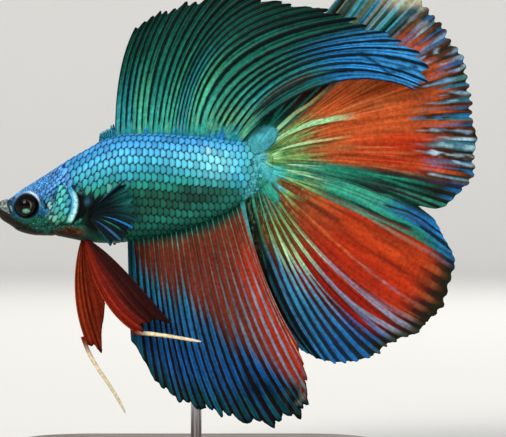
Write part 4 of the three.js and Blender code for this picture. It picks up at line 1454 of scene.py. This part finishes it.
def split_rays(away, v, first, second):
    """Distance from the nearest branch, where each ray forks at first and its branches fork at second."""
    outer = 0.5 * smooth(first, first + 0.3, v)
    inner = 0.25 * smooth(second, second + 0.3, v)
    return np.abs(np.abs(away - outer) - inner)


def caudal_design(fan):
    look = bpy.context.scene.fish_fins
    u, v = fan.u, fan.v
    own = chances(5, fan.ray)
    fold = band(0.555, 0.655, 0.012, u)
    # The rays of the lower lobe fork only once, the foremost of them early.
    lower = smooth(0.772, 0.782, u)
    branch = split_rays(fan.away, v, 0.06 + lower * (0.6 - 0.44 * smooth(0.84, 0.87, u)), 0.45 + 2 * lower)
    wide = 0.3 - 0.08 * smooth(0.15, 0.75, v) + 0.1 * (own[:, 1] - 0.5)
    width = 0.2 - 0.1 * smooth(0.05, 0.6, v)
    width = width + (wide - width) * lower
    line = 1 - smooth(width * 0.75, width * 1.4, branch + 0.07 * (fan.mottle(6, 40, 7) - 0.5))
    waves = smooth(0.36, 0.5, mottle(fan.phase * 8 + 0.8 * np.sin(v * 17), v * 3, 9))
    ridge_at = np.interp(v, (0.3, 0.4, 0.55, 0.64, 0.73, 0.9), (0.62, 0.615, 0.596, 0.6, 0.58, 0.583))
    ridge = bump(ridge_at, 0.016, u) * smooth(0.26, 0.36, v) * smooth(0.85, 0.6, v)
    line = line + (np.maximum(waves, smooth(0.25, 0.6, ridge)) - line) * fold * smooth(0.2, 0.4, v)
    notch = 1 - 0.13 * bump(0.565, 0.012, u)
    between = smooth(0.04, 0.24, branch) * smooth(0.6, 0.95, v)
    uneven = 0.03 * (fan.mottle(0.8, 0, 8) - 0.5) + 0.012 * (fan.mottle(2.4, 0, 11) - 0.5)
    reach = notch * (1 + uneven - 0.012 * np.abs(np.sin(u * 47)) - (0.004 + 0.014 * own[:, 2]) * between)
    lean = 2.6 - 4.8 * smooth(0.5, 0.61, u) + 3.4 * smooth(0.66, 0.95, u)
    clear_of_anal = 0.3 + 0.3 * smooth(0.85, 1, u)
    depth = clear_of_anal * smooth(0, 0.1, v) + lean * v + 0.55 * v * v * np.sin(u * 38)

    def colour(along, up):
        web = zoned(look, CAUDAL_WEB, 0.014, u + 0.012 * (mottle(v * 9, u * 3, 41) - 0.5), v)
        rays = zoned(look, CAUDAL_RAYS, 0.01, u, v)
        fibres = fan.mottle(14, 7, 42)
        blotches = fan.mottle(2.2, 14, 43)
        web = web * (0.58 + 0.56 * fibres + 0.26 * blotches)[:, None]
        rays = rays * (0.6 + 0.3 * blotches + 0.34 * fan.mottle(18, 6, 50))[:, None]
        field = band(0.16, 0.47, 0.02, u) * band(0.16, 0.86, 0.08, v)
        web = layer(web, "c68a4e", 0.4 * smooth(0.6, 0.85, fan.mottle(10, 5, 40)) * field)

        shoots = smooth(0.46, 0.66, fan.mottle(8, 1.8, 48)) * smooth(0.3, 0.08, v)
        web = layer(web, "84b468", 0.6 * shoots * band(0.15, 0.49, 0.02, u))
        rays = layer(rays, "369c7c", 0.8 * ridge)

        # Dots of yellow-green between the roots of the rays.
        dots = smooth(0.56, 0.8, fan.mottle(9, 60, 44)) * bump(0.18, 0.14, v) * smooth(0.14, 0.2, u)
        web = layer(web, look.leaf, (0.6 - 0.2 * smooth(0.66, 0.7, u)) * dots)
        colours = layer(web, rays, line * (1 - 0.75 * band(0.2, 0.46, 0.02, u) * band(0.34, 0.84, 0.08, v)))
        # Maroon streaks painted in the fin's furrows: painted shade.
        furrow_shade = smooth(0.42, 0.28, fan.mottle(13, 3, 45)) * band(0.1, 0.9, 0.1, v) * smooth(0.16, 0.2, u)
        colours = layer(colours, look.maroon, (0.28 + 0.2 * smooth(0.48, 0.52, u)) * furrow_shade)
        deep = bump(0.762, 0.03, u) * band(0.3, 0.84, 0.12, v) * (0.6 + 0.5 * (fibres - 0.5))
        colours = layer(colours, "861a0c", 0.6 * deep)
        colours = layer(colours, "c8521e", 0.45 * bump(0.695, 0.02, u) * band(0.45, 0.9, 0.1, v) * fibres)

        # Three pale rays stand out in the upper lobe, with a dark seam beside each.
        for places, shares, span, end, strength in PALE_RAYS:
            at = np.interp(v, places, shares) + 0.004 * (mottle(v * 7, 0 * u, 38) - 0.5)
            there = smooth(0.03, 0.07, v) * smooth(end + 0.08, end - 0.1, v) * strength
            slim = span * (1 - 0.55 * smooth(0.1, end, v))
            colours = layer(colours, "2c2410", 0.75 * there * bump(at + slim + 0.008, 0.007, u))
            lit = np.array(look.pale_leaf) * (0.86 + 0.24 * fibres)[:, None]
            lit = layer(lit, "d4b466", (1.0 - strength) * 4 * smooth(0.16, 0.34, v))
            colours = layer(colours, lit, there * (1 - smooth(slim * 0.75, slim * 1.2, np.abs(u - at))))

        # Blue-white streaks start at different places and widen towards the margin, with dark web between.
        cell = 4.4 * fan.phase + 0.9 * mottle(v * 2, 0 * u, 37)
        twig = chances(6, np.floor(cell).astype(int))
        start = 0.68 + 0.19 * twig[:, 0]
        away = np.abs(cell - np.floor(cell) - 0.5) * 2
        ragged = 1.0 * (fan.mottle(14, 28, 36) - 0.5)
        wide = (0.06 + 0.36 * twig[:, 1] ** 1.5) * smooth(start - 0.05, start + 0.15, v)
        fan_top = smooth(0.11, 0.16, u) * (1 - smooth(0.485, 0.505, u))
        edge = smooth(start, start + 0.14, v + 0.05 * ragged)
        colours = layer(colours, look.margin, 0.9 * edge * fan_top)
        streak = (1 - smooth(wide - 0.16, wide + 0.16, away + ragged)) * smooth(start, start + 0.06, v)
        tone = layers(look.steel_blue, (
            (look.lagoon, smooth(0.3, 0.1, twig[:, 3])),
            (look.frost, smooth(0.25, 0.6, twig[:, 3])),
            (look.steel_blue, 0.7 * smooth(0.55, 0.75, fan.mottle(6, 14, 46))),
        ))
        tone = tone * (0.4 + 0.9 * fan.mottle(15, 24, 47))[:, None]
        threads = smooth(0.6, 0.76, fan.mottle(15, 3, 33)) * smooth(0.74, 0.84, v) * fan_top
        colours = layers(colours, (
            (layer("3a8a80", look.steel_blue, twig[:, 0]), 0.55 * threads),
            (tone, streak * fan_top * (0.45 + 0.55 * twig[:, 2])),
            (look.margin, 0.75 * smooth(0.93, 0.985, v) * band(0.66, 0.86, 0.02, u)),
        ))

        # Thin stripes of many colours lie at the top of the fan, and a dotted thread runs down the red lobe.
        top = smooth(0.17, 0.13, u) * smooth(0.46, 0.58, v)
        thread = smooth(0.16, 0.84, fan.mottle(9, 1.2, 49))
        stripes = tones(look, TOP_STRIPES, thread)
        colours = layer(colours, stripes * (0.7 + 0.5 * fibres)[:, None], 0.9 * top)
        pale_top = smooth(0.86, 0.98, v) * band(0.08, 0.17, 0.03, u) * smooth(0.3, 0.6, blotches)
        colours = layer(colours, look.cream, 0.5 * pale_top)
        dotted = bump(0.735 + 0.03 * (v - 0.3), 0.002, u) * band(0.2, 0.9, 0.1, v)
        dotted = dotted * (0.4 + 0.6 * smooth(0.4, 0.6, mottle(v * 60, 0 * u, 39)))
        colours = layers(colours, (
            (layer("c87c44", look.lavender, smooth(0.5, 0.85, v)), 0.6 * dotted),
            # Painted shadow along the lower edge, where the anal fin lies over the tail fin, and painted
            # shade in a pocket just behind it.
            (look.ray_black, 0.9 * band(0.962, 0.974, 0.004, u) * smooth(0.05, 0.2, v)),
            (look.ray_black, 0.9 * spot(along, up, (50.0, -11.6), (0.6, 1.6))),
        ))

        root, inside = tail_root_colour(along, up)
        return layer(colours, root, inside)

    return {"reach": reach, "depth": depth, "ridge": line, "colour": colour}


def anal_design(fan):
    look = bpy.context.scene.fish_fins
    u, v = fan.u, fan.v
    own, strip = chances(8, fan.ray), chances(10, fan.web)
    red_reach = np.interp(
        u, (0.0, 0.05, 0.2, 0.4, 0.55, 0.7, 0.8, 0.88), (0.02, 0.12, 0.28, 0.36, 0.46, 0.62, 0.82, 1.2)
    )
    blue = smooth(red_reach - 0.12, red_reach + 0.12, v + 0.12 * (own[:, 0] - 0.5))
    stripes = smooth(0.56, 0.7, u) * smooth(0.3, 0.5, v) * (1 - smooth(0.86, 0.93, u))
    width = 0.12 + 0.06 * own[:, 2] + (0.24 + 0.26 * own[:, 1]) * blue + 0.18 * stripes * (1 - blue)
    torn = 0.16 * (fan.mottle(3, 50, 51) - 0.5)
    line = 1 - smooth(width - 0.08, width + 0.1, fan.away + torn)
    reach = (
        (1 - 0.03 * np.abs(np.sin(u * 29 + 0.6)))
        * (1 - 0.04 * bump(0.96, 0.03, u))
        * (1 - 0.024 * smooth(0.2, 0.9, fan.away) * own[:, 2])
        * (1 - 0.016 * own[:, 1])
    )
    depth = -1.5 * v + 0.5 * v * v * np.sin(u * 21)

    def colour(along, up):
        fibres = fan.mottle(9, 8, 52)
        web = layer(look.brick, look.red, 0.8 * smooth(0.72, 0.9, u) * smooth(0.1, 0.4, v))
        web = web * (0.5 + 0.5 * fibres + 0.5 * fan.mottle(2, 9, 53))[:, None]
        web = layer(web, look.orange, 0.35 * smooth(0.7, 0.9, fibres) * smooth(0.8, 0.9, u))
        web = layer(web, look.ray_black, 0.94 * blue)
        rays = tones(look, "0 sea, 0.07 4c8a5c, 0.13 5c5a44, 0.3 5a6464, 1 66748a", v)
        rays = layer(rays, look.lavender, 0.5 * smooth(0.66, 0.8, u) * smooth(0.2, 0.45, v))
        rays = layer(rays, "b07a4a", 0.6 * smooth(0.9, 0.94, u))
        bands = tones(look, "0 lagoon, 0.3 lagoon, 0.5 1c608e, 0.75 14589a, 1 12587c", v)
        rays = layer(rays, bands, blue)
        rays = layer(rays, "0c4a4c", 0.8 * smooth(0.88, 1.0, v + 0.08 * strip[:, 0]) * blue)
        rays = rays * (0.36 + 0.3 * own[:, 0] + 0.75 * fan.mottle(7, 9, 54))[:, None]
        comb = 0.03 + 0.1 * own[:, 2] ** 2
        tooth = layer(look.sea, look.mint, own[:, 1])
        rays = layer(rays, tooth, smooth(comb + 0.02, comb - 0.02, v))
        web = layer(web, look.deep_sea, smooth(0.1, 0.04, v))
        faded = 0.3 * band(0.12, 0.5, 0.05, v) * (1 - blue) * smooth(0.7, 0.6, u)
        colours = layer(web, rays, line * (1 - faded))
        split = (1 - smooth(0.04, 0.12, np.abs(fan.away - 0.2 * own[:, 3]))) * smooth(0.4, 0.7, v) * blue
        colours = layer(colours, look.ray_black, 0.5 * split)
        # Two soft patches near the tip are painted darker, and a grey-green patch lies over the second.
        dark_patches = spot(along, up, (48.8, -33.4), (3.2, 2.2))
        dark_patches = np.maximum(dark_patches, 0.9 * spot(along, up, (56.0, -33.8), (3.4, 3.0)))
        colours = layer(colours, look.ray_black, 0.85 * dark_patches * (1 - 0.6 * smooth(0.6, 0.8, fibres)))
        grey_green_patch = spot(along, up, (56.4, -34.4), (2.2, 2.8))
        grey_green_patch = grey_green_patch * smooth(0.45, 0.7, mottle(along * 2, up * 1.2, 55))
        colours = layer(colours, "6c7468", 0.7 * grey_green_patch)
        colours = layer(colours, "0c4656", 0.8 * smooth(0.05, 0.02, u))
        colours = colours * (1 - 0.45 * smooth(0.09, 0.03, u) * smooth(0.5, 0.3, v))[:, None]
        last_ray = np.array(look.aqua) * (0.5 + 0.5 * fibres)[:, None]
        colours = layer(colours, last_ray, 0.85 * smooth(0.955, 0.975, u) * smooth(0.36, 0.22, v))
        return layer(colours, look.ray_black, 0.7 * smooth(0.975, 0.995, v))

    return {"reach": reach, "depth": depth, "ridge": line, "colour": colour}


def pectoral_design(fan):
    look = bpy.context.scene.fish_fins
    u, v = fan.u, fan.v
    own = chances(9, fan.ray)
    line = 1 - smooth(0.16, 0.4, fan.away + 0.2 * (fan.mottle(3, 20, 61) - 0.5))
    finger = smooth(0.16, 0.1, u)
    reach = (1 - 0.12 * smooth(0.2, 0.9, fan.away)) * (1 - 0.16 * own[:, 0]) * (1 - 0.16 * bump(0.25, 0.1, u))
    depth = 4.55 + 4.2 * v * (0.75 + 0.25 * np.sin(u * 3.14))

    def colour(along, up):
        behind = bpy.context.scene.fish_body
        web = layer(look.pectoral_dark, "123c36", 0.6 * smooth(0.35, 0.95, v) * band(0.12, 0.6, 0.08, u))
        web = layer(web, behind.low_flank, 0.3 * band(0.14, 0.45, 0.06, u) * smooth(0.5, 1.0, v))
        web = web * (0.6 + 0.8 * fan.mottle(5, 9, 62))[:, None]
        rays = layer("050e12", "134450", smooth(0.3, 0.8, v) * own[:, 1])
        rays = layers(rays, (
            (look.blue, bump(0.68, 0.04, u) * band(0.3, 1.0, 0.1, v)),
            (look.mint, 0.8 * bump(0.8, 0.03, u) * band(0.3, 0.75, 0.1, v)),
            (look.steel_blue, 0.6 * bump(0.9, 0.03, u) * band(0.2, 0.9, 0.1, v)),
        ))
        colours = layer(web, rays, line)
        sheen = layer("04101c", "1f4f6e", smooth(0.04, 0.0, u) * smooth(0.1, 0.4, v))
        return layer(colours, sheen, finger)

    return {"reach": reach, "depth": depth, "ridge": line, "colour": colour}


def pelvic_design(near):
    def design(fan):
        look = bpy.context.scene.fish_fins
        u, v = fan.u, fan.v
        line = 1 - smooth(0.2, 0.5, fan.away)
        reach = 1 - 0.05 * bump(0.3, 0.12, u) - 0.05 * bump(0.75, 0.12, u)
        if near:
            depth = 1.3 + 3.6 * v ** 0.8 + 0.5 * v * np.sin(u * 5)
        else:
            depth = 1.3 + 2.2 * v + 0.4 * v * np.sin(u * 5)

        def colour(along, up):
            base = look.pelvic_red if near else look.pelvic_orange
            folds = fan.mottle(3, 3, 71)
            shaded = smooth(0.25, 0.8, u + 0.25 * (folds - 0.5) + 0.12 * v)
            web = layer(base, look.pelvic_dark, 0.94 * shaded if near else 0.75 * bump(0.5, 0.16, u))
            rays = layer(base, look.orange, 0.3 * (1 - u))
            rays = layer(rays, look.pelvic_dark, 0.85 * shaded if near else 0.4 * smooth(0.6, 1.0, u))
            both = layer(web, rays, line) * (0.65 + 0.6 * folds)[:, None]
            return layer(both, look.pelvic_dark, 0.5 * smooth(0.94, 1.0, v))

        return {"reach": reach, "depth": depth, "ridge": line, "colour": colour}

    return design


class FISH_OT_dorsal_fin(bpy.types.Operator):
    """Spreads the dorsal fin and the fringe before it"""

    bl_idname = "fish.dorsal_fin"
    bl_label = "Dorsal fin"

    def execute(self, context):
        material = fin_material("Fin skin, teal over dark rays", 0.36)
        add_fin("Dorsal_fin", DORSAL, dorsal_design, material, "dorsal_fin", "dorsal_fin")
        add_fin("Dorsal_fringe", FRINGE, fringe_design, material, "dorsal_fin")
        return {"FINISHED"}


class FISH_OT_tail_fins(bpy.types.Operator):
    """Spreads the tail fin and the anal fin"""

    bl_idname = "fish.tail_fins"
    bl_label = "Tail and anal fins"

    def execute(self, context):
        material = fin_material("Fin skin, red web over pale rays", 0.4)
        add_fin("Caudal_fin", CAUDAL, caudal_design, material, "caudal_fin", "caudal_fin")
        add_fin("Anal_fin", ANAL, anal_design, material, "anal_fin", "anal_fin")
        return {"FINISHED"}


class FISH_OT_paired_fins(bpy.types.Operator):
    """Spreads the pectoral and the pelvic fins with their long cream tips"""

    bl_idname = "fish.paired_fins"
    bl_label = "Pectoral and pelvic fins"

    AROUND = 16
    LENGTHWISE = 40

    def execute(self, context):
        dark = fin_material("Fin skin, dark and thin", 0.3)
        red = fin_material("Fin skin, folded red", 0.42)
        for side, word in SIDES:
            name = f"Pectoral_fin_{word}"
            add_fin(name, PECTORAL, pectoral_design, dark, "pectoral_fin", name.lower(), side=side)
        for (side, word), fin in zip(SIDES, (PELVIC_NEAR, PELVIC_FAR)):
            name, design = f"Pelvic_fin_{word}", pelvic_design(side == LEFT)
            add_fin(name, fin, design, red, "pelvic_fin", name.lower(), side=side)
            depth = design(Fan(fin, np.zeros(1), np.ones(1)))["depth"][0]
            add_piece(f"Pelvic_tip_{word}", self.filament(fin, side * depth), red, "pelvic_fin")
        return {"FINISHED"}

    def filament(self, fin, out):
        look = bpy.context.scene.fish_fins
        bm = bmesh.new()
        bmesh.ops.create_grid(bm, x_segments=self.AROUND, y_segments=self.LENGTHWISE, size=0.5)
        mesh = mesh_from("Filament", bm)
        grid = points_of(mesh)
        turn, t = (grid[:, 0] + 0.5) * 2 * math.pi, grid[:, 1] + 0.5
        points = np.array(fin["filament"])
        along, up = cubic(points[:, :1], t), cubic(points[:, 1:], t)
        ahead, ahead_up = cubic(points[:, :1], t + 0.01), cubic(points[:, 1:], t + 0.01)
        heading = np.arctan2(ahead_up - up, ahead - along)
        radius = (0.42 - 0.14 * t) * np.sqrt(np.clip(1 - t ** 14, 0, 1)) * (1 + 0.06 * wobble(t * 22, 5))
        across, deep = np.cos(turn) * radius, np.sin(turn) * radius
        along, up = along - np.sin(heading) * across, up + np.cos(heading) * across
        move_points(mesh, to_frame(along, out + deep, up))
        paint(mesh, layer(look.pelvic_red, look.cream, smooth(0.02, 0.3, t)), alpha=np.ones(len(t)))
        unwrap(mesh, "Rays", np.stack((turn, t * 4), axis=1))
        bm = bmesh.new()
        bm.from_mesh(mesh)
        bmesh.ops.remove_doubles(bm, verts=bm.verts, dist=1e-6)
        close_mesh(bm)
        bm.to_mesh(mesh)
        bm.free()
        return mesh


# ---- stand ---------------------------------------------------------------------------------------


class FISH_OT_stand(bpy.types.Operator):
    """Makes the walnut base and the steel rod"""

    bl_idname = "fish.stand"
    bl_label = "Stand"

    AROUND = 40  # sides of the rod
    LEVEL = 1e-6  # an edge that rises less, in metres, is level
    SHARP = 35  # faces that meet at more degrees keep a sharp edge

    def execute(self, context):
        sizes = context.scene.fish_stand
        low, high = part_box("stand_base")
        base = bmesh.new()
        bmesh.ops.create_cube(base, size=1)
        bmesh.ops.scale(base, vec=high - low, verts=base.verts)
        bmesh.ops.translate(base, vec=(low + high) / 2, verts=base.verts)
        self.round_edges(base, True, sizes.corner, 16)
        self.round_edges(base, False, sizes.edge, 5)
        self.show("Stand_base", base, wood_material(), "base_wood")

        low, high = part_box("stand_rod")
        radius = (high.x - low.x) / 2
        place = Matrix.Translation((low + high) / 2)
        rod = bmesh.new()
        bmesh.ops.create_cone(
            rod,
            cap_ends=True,
            segments=self.AROUND,
            radius1=radius,
            radius2=radius,
            depth=high.z - low.z,
            matrix=place,
        )
        self.round_edges(rod, False, sizes.rod_edge, 3)
        self.show("Stand_rod", rod, steel_material(), "rod_steel")
        return {"FINISHED"}

    def round_edges(self, bm, upright, radius, segments):
        """Rounds the upright edges, or the level ones."""
        rises = [(edge, abs(edge.verts[0].co.z - edge.verts[1].co.z)) for edge in bm.edges]
        edges = [edge for edge, rise in rises if (rise > self.LEVEL) == upright]
        bmesh.ops.bevel(
            bm, geom=edges, offset=radius, segments=segments, profile=0.5, affect="EDGES", material=-1
        )

    def show(self, name, bm, material, slot):
        mesh = mesh_from(name, bm)
        add_piece(name, mesh, material, slot, name.lower())
        mesh.set_sharp_from_angle(angle=math.radians(self.SHARP))


# ---- stage ---------------------------------------------------------------------------------------


class FISH_OT_stage(bpy.types.Operator):
    """Sets the pale floor, the soft lights and the camera"""

    bl_idname = "fish.stage"
    bl_label = "Stage"

    SENSOR = 36.0
    # Each light: name, place and size in metres, power in watts, colour.
    LIGHTS = (
        ("Key light", (-0.55, -1.1, 0.75), 0.6, 7.6, "fff8f0"),
        ("Fill light", (0.9, -0.9, 0.3), 0.8, 2.5, "eaf3ff"),
        ("Back light", (0.3, 0.9, 0.9), 0.8, 5.0, "ffffff"),
    )
    SUN = {"turn": (50, 0, -28), "strength": 1.25, "spread": 30}  # turn and spread in degrees
    SKY = {"colour": "eef1f4", "strength": 0.4}
    # The floor in metres: half its width, where it starts and how long it runs, where its cove starts and the
    # cove's radius.
    FLOOR = {"half": 4.0, "start": -3.0, "run": 9.0, "flat": 2.0, "cove": 1.5}

    def execute(self, context):
        sizes = context.scene.fish_stage
        target = SNOUT + Vector((sizes.view_along, 0, sizes.view_height))
        camera = show("Camera", bpy.data.cameras.new("Camera"))
        camera.data.lens = self.SENSOR * sizes.distance / sizes.view_width
        camera.data.sensor_width = self.SENSOR
        camera.data.clip_start, camera.data.clip_end = 0.01, 20
        camera.location = target - Vector((0, sizes.distance, 0))
        camera.rotation_euler = (math.radians(90), 0, 0)
        context.scene.camera = camera

        for name, place, size, power, colour in self.LIGHTS:
            light = bpy.data.lights.new(name, "AREA")
            light.shape, light.size, light.energy, light.color = "DISK", size, power, linear(colour)
            lamp = show(name, light)
            lamp.location = place
            lamp.rotation_euler = (target - lamp.location).to_track_quat("-Z", "Y").to_euler()

        sun = bpy.data.lights.new("Ceiling light", "SUN")
        sun.energy, sun.angle = self.SUN["strength"], math.radians(self.SUN["spread"])
        show("Ceiling light", sun).rotation_euler = [math.radians(angle) for angle in self.SUN["turn"]]

        world = bpy.data.worlds.new("Studio")
        world.use_nodes = True
        sky = world.node_tree.nodes["Background"].inputs
        sky["Color"].default_value = rgba(self.SKY["colour"])
        sky["Strength"].default_value = self.SKY["strength"]
        context.scene.world = world
        context.scene.view_settings.view_transform = "Standard"
        self.floor(sizes)
        return {"FINISHED"}

    def floor(self, sizes):
        """Lays a flat floor, then a wide cove up to the wall behind, well clear of any camera."""
        plan = self.FLOOR
        bm = bmesh.new()
        bmesh.ops.create_grid(bm, x_segments=8, y_segments=120, size=1)
        mesh = mesh_from("Floor", bm)
        x, y, _ = points_of(mesh).T
        run = (y + 1) / 2 * plan["run"] + plan["start"]
        turn = np.clip((run - plan["flat"]) / plan["cove"], 0, math.pi / 2)
        past = np.maximum(run - plan["flat"] - plan["cove"] * math.pi / 2, 0)
        depth = np.minimum(run, plan["flat"]) + plan["cove"] * np.sin(turn)
        height = plan["cove"] * (1 - np.cos(turn)) + past
        move_points(mesh, np.stack((x * plan["half"], depth, height), axis=1))
        mesh.shade_smooth()
        material = new_material("Backdrop paper, matt")
        fibre = node(material, "TexNoise", {"Scale": 900.0, "Detail": 2.0})
        relief = node(material, "Bump", {"Height": fibre, "Strength": 0.05, "Distance": 0.0001})
        shade(material, Base_Color=(*sizes.floor, 1.0), Roughness=0.9, Normal=relief)
        mesh.materials.append(material)
        floor = show("Floor", mesh)


class FISH_PT_panel(bpy.types.Panel):
    """Lists the pieces of the fish"""

    bl_idname = "FISH_PT_panel"
    bl_label = "Fighting fish"
    bl_space_type = "VIEW_3D"
    bl_region_type = "UI"
    bl_category = "Fish"

    def draw(self, context):
        for operator in OPERATORS:
            self.layout.operator(operator.bl_idname)
        for group in SETTINGS:
            settings = getattr(context.scene, group)
            for name in settings.bl_rna.properties.keys():
                if name not in ("rna_type", "name"):
                    self.layout.prop(settings, name)


SETTINGS = {
    "fish_body": BodySettings,
    "fish_fins": FinSettings,
    "fish_stand": StandSettings,
    "fish_stage": StageSettings,
}
OPERATORS = (
    FISH_OT_stage,
    FISH_OT_skin,
    FISH_OT_scales,
    FISH_OT_eyes,
    FISH_OT_dorsal_fin,
    FISH_OT_tail_fins,
    FISH_OT_paired_fins,
    FISH_OT_stand,
)


def register():
    for group in (*SETTINGS.values(), *OPERATORS, FISH_PT_panel):
        bpy.utils.register_class(group)
    for name, group in SETTINGS.items():
        setattr(bpy.types.Scene, name, PointerProperty(type=group))


def unregister():
    for name in SETTINGS:
        delattr(bpy.types.Scene, name)
    for group in reversed((*SETTINGS.values(), *OPERATORS, FISH_PT_panel)):
        bpy.utils.unregister_class(group)


def main():
    register()
    bpy.ops.fish.stage()
    bpy.ops.fish.skin()
    bpy.ops.fish.scales()
    bpy.ops.fish.eyes()
    bpy.ops.fish.dorsal_fin()
    bpy.ops.fish.tail_fins()
    bpy.ops.fish.paired_fins()
    bpy.ops.fish.stand()


if __name__ == "__main__":
    main()
